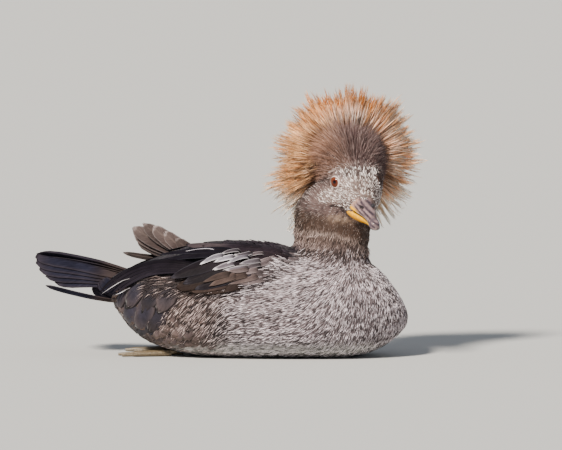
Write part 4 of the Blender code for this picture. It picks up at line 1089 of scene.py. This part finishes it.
def makePlumes():
    # Each plume is a shaft with loose barbs that part towards its tip
    count, barbs = crest["plumes"], crest["barbs"]
    angle, tilt = crestSpread(count, -10, 62, [-10, 0, 8, 30, 60], [114, 150, 167, 167, 158])
    out = crestDirections(angle, tilt)
    reach = crestReach(angle, tilt) * draw.uniform(0.90, 1.08, count)
    roots = castOut(out)
    tips = crestCentre + out * (reach * mm)[:, None] + draw.normal(0, 1.2, (count, 3)) * mm
    side = unit(np.cross(out, backwards))
    bend = side * (draw.normal(0, 1.8, count) * mm)[:, None] - backwards * (draw.uniform(-1, 3, count) * mm)[:, None]

    def shaft(s):
        s = s[..., None]
        return roots[:, None] * (1 - s) + tips[:, None] * s + bend[:, None] * (4 * s * (1 - s)) * 0.5

    start = np.tile(np.linspace(0.35, 0.86, barbs), (count, 1)) + draw.uniform(-0.03, 0.03, (count, barbs))
    end = np.minimum(start + draw.uniform(0.22, 0.34, (count, barbs)), draw.uniform(0.9, 1.04, (count, barbs)))
    hand = np.where(np.arange(barbs) % 2, 1.0, -1.0)[None] * draw.uniform(0.5, 1.0, (count, barbs))
    width = draw.uniform(0.8, 1.9, (count, 1)) * mm
    splay = side[:, None] * (hand * width)[..., None] + draw.normal(0, 0.5, (count, barbs, 3)) * mm
    base, goal = shaft(start), shaft(end) + splay
    t, n = ramp(5), count * barbs
    s = t[None, None, :, None]
    lines = base[:, :, None] * (1 - s) + goal[:, :, None] * s - splay[:, :, None] * (s * (1 - s)) * 0.7
    lines = lines.reshape(n, 5, 3)
    spread = draw.uniform(0.75, 1.3, (n, 1))
    tipShare = smooth(end.reshape(-1), 0.8, 1.0)[:, None] * smooth(t, 0.3, 1.0)[None]
    paint = crestPaint(lines, np.repeat(angle, barbs), np.repeat(tilt, barbs), tipShare)
    paint = paint * np.repeat(draw.uniform(0.60, 1.35, count), barbs)[:, None, None]
    paint = paint * draw.uniform(0.85, 1.15, (n, 1, 1))
    crestStrands("crestPlumes", lines, ([0, 0.5, 1.0], [0.20, 0.17, 0.03]), spread, paint, roots, barbs)


def makeWhiteTips():
    # The longest low feathers of the ring end in white
    angle, reach = np.repeat(crest["whiteTips"], 16, 0).T
    n = len(angle)
    reach = reach * draw.uniform(0.95, 1.0, n)
    out = crestDirections(angle, np.full(n, -1.0))
    roots = castOut(out) + draw.normal(0, 0.8, (n, 3)) * mm
    side = np.cross(out, backwards)
    tips = crestCentre + out * (reach * mm)[:, None] + side * (draw.uniform(-1.3, 1.3, n) * mm)[:, None]
    t = ramp(6)
    s = t[None, :, None]
    lines = roots[:, None] * (1 - s) + tips[:, None] * s
    spread = draw.uniform(0.8, 1.2, (n, 1))
    paint = blendColour(np.array(crest["cream"]) * 0.8, crest["white"], smooth(t, 0.62, 0.78)[None] * np.ones((n, 1)))
    crestStrands("crestWhiteTips", lines, ([0, 0.6, 0.9, 1.0], [0.16, 0.26, 0.30, 0.06]), spread, paint, roots, 1)


crown = {"gap": 0.00068, "dome": 36.0, "centre": (-2.0, 7.0), "notch": 74.0, "fleck": (0.52, 0.38, 0.35),
         "brow": (0.80, 0.70, 0.66)}


def makeCrown():
    # Dark feathers that rise from the brow line in layers and make a dome in front of the crest
    def above(points, x, z):
        f, _, up = toHead(points).T
        return (up > browLine(f) - 0.5) & (eyeGap(points) > 5.0) & (f < 18.0) & (f > -26.0) & (z > 104)

    index = seats(crown["gap"], above)
    roots, normals = coatPoints[index], coatNormals[index]
    h = toHead(roots)
    f, left, up = h.T
    count = len(index)
    out = h[:, 1:] - np.array(crown["centre"])
    reach = np.linalg.norm(out, axis=-1)
    angle = np.degrees(np.arctan2(out[:, 1], out[:, 0]))
    out = out / reach[:, None]
    behind = smooth(up - browLine(f) + 0.75 * np.maximum(0, 8 - f), 0.0, 17.0)
    dome = crown["dome"] - 4.0 * np.exp(-((angle - crown["notch"]) / 9.0) ** 2) - 4.5 * smooth(-angle, -62.0, -20.0)
    goal = reach + 3.5 + np.maximum(0, dome - reach - 3.5) * behind * draw.uniform(0.75, 1.12, count)
    tip = np.stack([f - 2.5 - 5.0 * behind, *(np.array(crown["centre"]) + out * goal[:, None]).T], -1)
    tips = fromHead(tip + draw.normal(0, 0.7, (count, 3)))
    size = np.linalg.norm(tips - roots, axis=-1)
    bend = roots + (unit(lieOf(roots, normals) + 0.5 * normals) * (0.45 * size)[:, None])
    t = ramp(5)
    s = t[None, :, None]
    lines = roots[:, None] * (1 - s) ** 2 + bend[:, None] * (2 * s * (1 - s)) + tips[:, None] * s ** 2
    lines -= normals[:, None] * 0.0003
    halves = np.interp(t, [0, 0.5, 0.85, 1], [0.17, 0.20, 0.13, 0.03])[None] * mm * draw.uniform(0.7, 1.3, (count, 1))
    paint = markings(roots)[:, None] * np.interp(t, [0, 0.5, 1], [0.8, 1.0, 1.2])[None, :, None]
    speckle = np.sin(2 * math.pi * (t[None] * 1.6 + draw.uniform(size=(count, 1))))
    fleck = (draw.uniform(size=count) < 0.6)[:, None] * smooth(speckle, 0.1, 0.9) * 0.65
    side = (smooth(-left, 6.0, 20.0) * behind)[:, None] * smooth(t, 0.4, 1.0)[None] * 0.8
    brow = (1 - smooth(up - browLine(f), 0.0, 3.0)) * smooth(f, 4.0, 10.0) * (draw.uniform(size=count) < 0.5)
    paint = painted(crown, paint, ("fleck", fleck), (crest["rust"], side),
                    ("brow", brow[:, None] * smooth(t, 0.3, 0.8)[None] * 0.8))
    paint = paint * draw.uniform(0.75, 1.25, (count, 1, 1))
    strands("crownFeathers", lines, halves, paint, coatSpots[index], crestMaterial)


makeCrestBase()
makePlumes()
makeWhiteTips()
makeCrown()


# Wings: vanes laid on the mantle, the surface that a folded wing follows

mantleTable = (  # x, height of the back, half width, height of the widest line
    (-122, 61, 20, 43), (-108, 64, 27, 42.5), (-98, 66.5, 33, 42), (-86, 70.5, 39.5, 41.5), (-72, 75.5, 45.5, 40.5),
    (-54, 82, 51, 38), (-34, 86.5, 54, 36), (-8, 88, 56, 35), (18, 82.5, 53.5, 35), (46, 73, 46, 36),
)


def mantleWidth(x, z):
    top, half, widest = (alongTable(mantleTable, c, x) for c in (1, 2, 3))
    above = z >= widest
    reach = np.where(above, top - widest, widest)
    power = np.where(above, 2.15, 2.6)
    return half * np.maximum(0.02, 1 - np.minimum(np.abs((z - widest) / reach), 0.995) ** power) ** (1 / power)


def onMantle(x, z, side, lift):
    # Point and outward normal, in the tables' millimetres
    slopeX = mantleWidth(x + 0.5, z) - mantleWidth(x - 0.5, z)
    slopeZ = mantleWidth(x, z + 0.5) - mantleWidth(x, z - 0.5)
    normal = unit(np.stack([-slopeX, np.ones_like(x), -slopeZ], -1))
    point = np.stack([x, mantleWidth(x, z), z], -1) + normal * lift[..., None]
    return point * (1, side, 1), normal * (1, side, 1)


def bent(path, stations):
    # A curve that starts at the first point, passes near the second and ends at the third
    p = np.asarray(path, float)
    t = ramp(stations)[:, None]
    middle = p[..., 1:2, :] * 2 - (p[..., 0:1, :] + p[..., 2:3, :]) / 2
    return p[..., 0:1, :] * (1 - t) ** 2 + middle * 2 * t * (1 - t) + p[..., 2:3, :] * t * t


vaneShapes = {
    "blade": ([0, 0.12, 0.4, 0.7, 0.88, 0.96, 1.0], [0.3, 0.75, 1.0, 0.86, 0.5, 0.25, 0.04]),
    "leaf": ([0, 0.12, 0.4, 0.65, 0.85, 0.95, 1.0], [0.35, 0.8, 1.0, 0.95, 0.62, 0.32, 0.05]),
    "round": ([0, 0.12, 0.4, 0.7, 0.88, 0.96, 1.0], [0.35, 0.8, 1.0, 1.0, 0.82, 0.52, 0.12]),
    "broad": ([0, 0.12, 0.4, 0.8, 0.92, 0.975, 1.0], [0.4, 0.8, 1.0, 1.02, 0.88, 0.60, 0.25]),
}

# Each row: root, bend and tip as x, z on the mantle, the same step for the next feather, their number, width, lift,
# shape, share of the rim, and the tones of the vane's base, its end and its rim
wing = {
    "flight": {
        "primaries": (((-30, 67), (-78, 67.5), (-114, 45.5)), ((-1, -1.2), (1.5, -1.2), (3.4, 0.2)), 5,
                      5.4, 0.9, "blade", 0.3, (0.008, 0.006, 0.009), (0.010, 0.008, 0.012), (0.026, 0.023, 0.032)),
        # Two thin pale vanes paint the white glints on the outer primaries: painted highlight
        "shaftGlints": (((-88, 58.5), (-99, 53), (-111, 46)), ((-1, -6.5), (5, -4.5), (10.5, 0)), 2, 0.42, 2.4, "leaf",
                   0.6, (0.30, 0.28, 0.29), (0.80, 0.78, 0.82), (0.90, 0.88, 0.92)),
        "secondaries": (((-14, 59.5), (-33, 57), (-53, 52.5)), ((8, -0.8), (8.5, -0.9), (9, -0.6)), 3,
                        11.0, 1.5, "round", 0.5, (0.024, 0.016, 0.015), (0.036, 0.024, 0.021), (0.075, 0.053, 0.046)),
        "longTertial": (((4, 76), (-32, 78), (-70, 73)), ((2, -1.5), (2, -2.0), (5, -3.0)), 2, 8.5, 2.3, "leaf",
                        0.5, (0.009, 0.007, 0.011), (0.010, 0.008, 0.013), (0.07, 0.07, 0.09)),
        "tertials": (((-4, 75), (-30, 68.5), (-57, 59)), ((10, -2.0), (9, -3.0), (9, -3.6)), 3, 12.5, 2.4, "leaf",
                     0.5, (0.024, 0.018, 0.022), (0.013, 0.010, 0.013), (0.150, 0.140, 0.175)),
    },
    "coverts": {
        "brownRow": (((-8, 63), (-20, 61), (-33, 56.5)), ((6.2, -0.2), (6.2, -0.2), (6.2, -0.2)), 5, 5.4, 2.0, "leaf",
                     0.5, (0.020, 0.014, 0.013), (0.065, 0.043, 0.037), (0.19, 0.14, 0.125)),
        "frontRow": (((2, 66), (-6, 65), (-15, 62.5)), ((6.5, -0.3), (6.5, -0.4), (6.5, -0.5)), 4, 5.2, 2.3, "leaf",
                     0.6, (0.060, 0.045, 0.045), (0.130, 0.098, 0.098), (0.36, 0.28, 0.28)),
        "lowerRow": (((-7, 69.5), (-16, 68.5), (-26, 65.5)), ((8.8, -0.5), (8.8, -0.6), (8.8, -0.6)), 4,
                     4.8, 2.6, "leaf", 0.8, (0.014, 0.011, 0.014), (0.10, 0.085, 0.10), (0.80, 0.75, 0.78)),
        "middleRow": (((-15, 73.5), (-24, 72.8), (-35, 69.5)), ((8.8, -0.3), (8.8, -0.4), (8.8, -0.5)), 5,
                      4.8, 3.0, "leaf", 0.9, (0.012, 0.010, 0.013), (0.17, 0.155, 0.185), (0.98, 0.95, 1.0)),
        "upperRow": (((-4, 77.0), (-12, 77.0), (-21, 75.4)), ((8.6, -0.7), (8.6, -0.8), (8.6, -0.9)), 4,
                     4.0, 3.0, "leaf", 0.75, (0.012, 0.010, 0.013), (0.045, 0.037, 0.045), (0.70, 0.66, 0.70)),
        # A thin pale vane along the long tertial's upper edge paints its white glints: painted highlight
        "streak": (((-24, 77.2), (-33, 77.2), (-46, 75.2)), ((3, 0), (3, 0), (3, 0)), 1, 0.5, 3.2, "leaf",
                   0.8, (0.10, 0.09, 0.11), (0.55, 0.52, 0.60), (0.95, 0.92, 1.0)),
    },
    "scapulars": {
        "scapularTop": (((28, 76), (12, 79), (-12, 80.5)), ((-12, 0.9), (-12, 0.9), (-13, 0.5)), 4, 12.0, 0.8, "round",
                        0.4, (0.014, 0.010, 0.014), (0.018, 0.013, 0.018), (0.050, 0.036, 0.042)),
        "scapularLow": (((32, 71), (19, 75), (-2, 77.0)), ((-11, 1.0), (-12, 1.0), (-13, 0.4)), 4, 8.0, 1.4, "round",
                        0.5, (0.013, 0.010, 0.013), (0.020, 0.014, 0.018), (0.08, 0.055, 0.06)),
    },
}
wingForm = {  # jitter, fray and inner edge of the rim by kind; the far scapulars lie lower; tones of the front coverts
    "jitter": {"flight": 0.0, "coverts": 0.9, "scapulars": 0.5},
    "fray": {"flight": 0.0006, "coverts": 0.0013, "scapulars": 0.0006},
    "from": {"flight": 0.84, "coverts": 0.7, "scapulars": 0.7}, "sunk": -3.6, "shaft": (0.02, 0.015, 0.016),
    "soft": ((0.034, 0.026, 0.028), (0.104, 0.080, 0.084), (0.40, 0.33, 0.34)), "behind": (0.062, 0.047, 0.050),
}


def makeWing(name, side, pieceName):
    t = ramp(17)
    for kind, rows in wing.items():
        for group, (path, step, count, wide, lift, shape, rimShare, *tone) in rows.items():
            i = np.arange(count)[:, None, None]
            jitter = draw.normal(0, 1.0, (count, 3, 2)) * wingForm["jitter"][kind]
            flat = bent(np.array(path)[None] + np.array(step)[None] * i + jitter, 17)
            if kind == "scapulars" and side > 0:
                flat[..., 1] += wingForm["sunk"]
            level = lift + 0.42 * (count - 1 - np.arange(count))[:, None]
            level = level * (1 - 0.5 * smooth(flat[:, :1, 0], 2.0, 22.0) * (kind != "flight"))
            start = 0.6 if group in ("primaries", "shaftGlints") else -4.0  # roots start under the body's own coat
            rise = start + (level - start) * np.minimum(1.0, np.linspace(0, 7, 17)[None] / 2)
            points, ups = onMantle(flat[..., 0], flat[..., 1], side, rise + 0.3)
            halves = np.interp(t, *vaneShapes[shape])[None] * (wide / 2 * mm * draw.uniform(0.88, 1.1, (count, 1)))
            soft = (kind == "coverts") * smooth(flat[:, 0, 0], 4.0, 22.0)  # the front ones are pinkish grey
            base, end, rim = (blendColour(old, new, soft) for old, new in zip(tone, wingForm["soft"]))
            colours = blendColour(base[:, None], end[:, None], smooth(t, 0.15, 0.6)[None] * np.ones((count, 1)))
            if group == "scapularTop":  # brown-grey behind, dark in front
                colours = blendColour(colours, wingForm["behind"], 0.75 * smooth(-flat[..., 0], 16.0, 28.0))
            vanes(
                f"{name}_{group}", place(points), ups, halves, softMaterial if kind == "coverts" else quillMaterial,
                colours, cup=0.14, ridge=0.00025, fray=wingForm["fray"][kind],
                tints=draw.uniform(0.5, 1.15, count), shaft={"share": 0.4, "colour": wingForm["shaft"]},
                rim={"share": rimShare, "colour": rim, "from": wingForm["from"][kind]},
            )
    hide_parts(pieceName)


raisedFan = {  # tips: x, y, z and width
    "root": (-46, 39.5, 71.5), "up": (0.15, -0.85, 0.35), "base": (0.034, 0.023, 0.022), "end": (0.080, 0.060, 0.056),
    "rim": (0.50, 0.42, 0.42), "shaft": (0.12, 0.09, 0.08),
    "tips": ((-98, 40, 92, 13), (-90, 38, 95, 12), (-82, 36, 92.5, 12), (-73, 34, 88.5, 11), (-95, 43, 84, 15),
             (-97, 42, 87, 13), (-64, 33, 84, 10), (-106, 45, 72.5, 5)),
}


def makeRaisedFan():
    *tips, wides = np.array(raisedFan["tips"], float).T
    tips = np.stack(tips, -1)
    starts = np.array(raisedFan["root"], float) + np.arange(len(tips))[:, None] * np.array([1.5, 0, -0.4])
    points = place(bent(np.stack([starts, (starts + tips) / 2 + np.array([-2.0, 0, -2.5]), tips], 1), 17))
    ups = np.broadcast_to(unit(np.array(raisedFan["up"])), points.shape)
    t = ramp(17)
    halves = np.interp(t, *vaneShapes["round"])[None] * wides[:, None] / 2 * mm
    colours = painted(raisedFan, "base", ("end", smooth(t, 0.5, 1.0)[None] * np.ones((len(points), 1))))
    colours[-1] *= 0.35
    vanes("raisedTertials", points, ups, halves, softMaterial, colours, ridge=0.0002, fray=0.0009,
          rim={"share": 0.32, "colour": raisedFan["rim"], "from": 0.88}, tints=draw.uniform(0.6, 1.3, len(points)),
          shaft={"share": 0.5, "colour": raisedFan["shaft"]})


tail = {"root": (-88.0, 0.0, 56.5), "length": 79.0, "rise": 13.0, "pairs": 5, "spread": 17.0, "tent": 33.0,
        "wide": 19.0, "rounding": 0.20, "tone": (0.012, 0.012, 0.021), "base": (0.030, 0.022, 0.022),
        "rim": (0.050, 0.037, 0.038), "shaft": (0.008, 0.006, 0.008), "coverts": 4, "covertWide": 11.0,
        "low": ((-101, -13, 40.0), (-126, -18, 44.6), (-155, -20, 52.0)), "lowWide": 5.0}


def makeTail():
    rise, tent = math.radians(tail["rise"]), math.radians(tail["tent"])
    t = ramp(21)
    lines, ups = [], []
    for side in (-1, 1):
        for i in range(tail["pairs"]):
            share = (i + 0.35) / (tail["pairs"] - 0.65)
            angle = math.radians(side * tail["spread"] * share)
            length = tail["length"] * (1 - tail["rounding"] * share ** 2)
            fall = abs(math.sin(angle)) * math.tan(tent)
            ahead = unit(np.array([-math.cos(angle) * math.cos(rise), math.sin(angle), math.sin(rise) - fall]))
            normal = np.array([math.sin(rise), side * math.sin(tent), math.cos(tent)])
            bow = np.sin(math.pi * t) * 2.0 - 0.9 * i + 0.2
            lines.append(np.array(tail["root"]) + ahead * (length * t)[:, None] + normal * bow[:, None])
            ups.append(normal)
    for side in (1, -1):  # the lowest pair hangs clear of the fan
        lines.append(bent(np.array(tail["low"]) * (1, side, 1) + np.array([0, 0, 6.0 * (side < 0)]), 21))
        ups.append(unit(np.array([0.1, side * 0.75, 0.65])))
    for side in (1, -1):  # dark coverts close the gap below it
        for k in range(tail["coverts"]):
            lines.append(bent(((-84, side * (6 + 6 * k), 40 + k), (-103, side * (8 + 5 * k), 43.0 + 2.2 * k),
                               (-122 + 3 * k, side * (9 + 4 * k), 49.5 + 2.4 * k)), 21))
            ups.append(unit(np.array([-0.2, side * 0.9, -0.25])))
    points, ups = place(np.array(lines)), np.repeat(np.array(ups)[:, None], 21, 1)
    wides = np.repeat([tail["wide"], tail["lowWide"], tail["covertWide"]], [2 * tail["pairs"], 2, 2 * tail["coverts"]])
    colours = painted(tail, "base", ("tone", smooth(t, 0.25, 0.5)[None] * np.ones((len(points), 1))))
    made = vanes(
        "tailFeathers", points, ups, np.interp(t, *vaneShapes["broad"])[None] * (wides / 2 * mm)[:, None],
        quillMaterial, colours,
        columns=15, cup=0.06, ridge=0.0003, fray=0.0005, tints=draw.uniform(0.85, 1.15, len(points)),
        rim={"share": 0.3, "colour": tail["rim"]}, shaft={"share": 0.5, "colour": tail["shaft"]},
    )
    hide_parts("tail")


flank = {  # rows of large soft feathers down the side: first root x, step, number, root z, tip drop, back, width, lift
    "rows": ((-86, 10.5, 2, 22, 20, -4, 17.0, 0.4), (-92, 10.5, 3, 35, 26, -7, 18.5, 0.7),
             (-88, 11.5, 3, 49, 29, -10, 18.5, 1.0), (-95, 12.0, 4, 63, 28, -9, 18.0, 1.4)),
    "tone": (0.016, 0.014, 0.022), "brown": (0.034, 0.024, 0.022), "rim": (0.054, 0.039, 0.037),
}


def onSkin(x, z, side, lift):
    points, normals = np.zeros(x.shape + (3,)), np.zeros(x.shape + (3,))
    for i in np.ndindex(x.shape):
        start = Vector(place(np.array([x[i], side * 90.0, z[i]])))
        hit, normal = skinTree.ray_cast(start, Vector((0, -side, 0)), 0.12)[:2]
        if hit is None:
            hit, normal = skinTree.find_nearest(Vector(place(np.array([x[i], side * 20.0, z[i]]))))[:2]
        points[i], normals[i] = hit, normal
    return points + normals * lift[..., None] * mm, normals


def makeFlank(name, side):
    t = ramp(13)
    for k, (first, step, count, high, drop, back, wide, lift) in enumerate(flank["rows"]):
        i = np.arange(count)
        x = first + step * i + draw.normal(0, 0.6, count)
        z = high + draw.normal(0, 0.8, count)
        flat = bent(np.stack([x, z, x + back * 0.25, z - drop * 0.5, x + back, z - drop], -1).reshape(-1, 3, 2), 13)
        rise = lift * (0.4 + 0.6 * smooth(t, 0.0, 0.4))[None] * np.ones((count, 1)) + 0.25 * (i % 2)[:, None]
        points, ups = onSkin(flat[..., 0], flat[..., 1], side, rise)
        ahead = unit(np.gradient(points, axis=1))
        ups = unit(ups - ahead * (ups * ahead).sum(-1, keepdims=True))
        halves = np.interp(t, *vaneShapes["leaf"])[None] * (wide / 2 * mm * draw.uniform(0.9, 1.1, (count, 1)))
        tone = painted(flank, "tone", ("brown", smooth(x, -70.0, -40.0)))
        vanes(f"{name}{k + 1}", points, ups, halves, coatMaterial, np.repeat(tone[:, None], 13, 1),
              thick=0.0003, ridge=0.0002, fray=0.0018, tints=draw.uniform(0.7, 1.3, count),
              rim={"share": 0.6, "colour": flank["rim"], "from": 0.25})


makeFlank("flankRight", -1.0)
makeFlank("flankLeft", 1.0)
makeWing("wingRight", -1.0, "wing_right")
makeWing("wingLeft", 1.0, "wing_left")
makeRaisedFan()
makeTail()
print("wings and tail")


# Feet: the CAD's shapes with scaled skin

footLook = {"pale": (0.17, 0.125, 0.070, 1), "dark": (0.07, 0.050, 0.030, 1), "scales": 900.0}


def footMaterial():
    made, tree, shader = newMaterial("footSkin")
    spot = addNode(tree, "TexCoord")["Object"]
    scales = addNode(tree, "TexVoronoi", {"Scale": footLook["scales"], "Vector": spot})["Distance"]
    tint = addNode(tree, "ValToRGB", {0: scales})["Color"]
    ends = tint.node.color_ramp.elements
    ends[0].color, ends[1].color = footLook["pale"], footLook["dark"]
    rise = addNode(tree, "Bump", {"Strength": 0.5, "Distance": 0.0003, "Height": scales})["Normal"]
    feed(tree, shader, {"Base Color": tint, "Normal": rise, "Roughness": 0.5})
    return made


footSkin = footMaterial()
for name in ("foot_left", "foot_right"):
    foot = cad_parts[name]
    foot.data.materials.clear()
    foot.data.materials.append(footSkin)


# Studio: pale floor and backdrop, soft lights

studio = {
    "floor": (0.48, 0.48, 0.47, 1), "world": 0.46, "sky": (0.84, 0.90, 1.0, 1), "sun": 9.4,
    "sunTone": (1.0, 0.93, 0.83), "sunTurn": (50.0, 0.0, -26.0), "sunWide": 10.0,
}


def makeStudio():
    material, tree, shader = newMaterial("studioPaper")
    feed(tree, shader, {"Base Color": studio["floor"], "Roughness": 0.95, "Specular IOR Level": 0.1})
    bpy.ops.object.select_all(action="DESELECT")
    bpy.ops.mesh.primitive_plane_add(size=90.0, location=(0, 0, 0))
    floor = bpy.context.object
    floor.name = "floor"
    floor.data.materials.append(material)
    bpy.ops.object.light_add(type="SUN", location=(-1, -2, 2), rotation=[math.radians(v) for v in studio["sunTurn"]])
    sun = bpy.context.object
    sun.name = "key"
    sun.data.energy = studio["sun"]
    sun.data.angle = math.radians(studio["sunWide"])
    sun.data.color = studio["sunTone"]
    world = bpy.data.worlds.new("studio")
    world.use_nodes = True
    feed(world.node_tree, world.node_tree.nodes["Background"], {0: studio["sky"], 1: studio["world"]})
    bpy.context.scene.world = world


makeStudio()
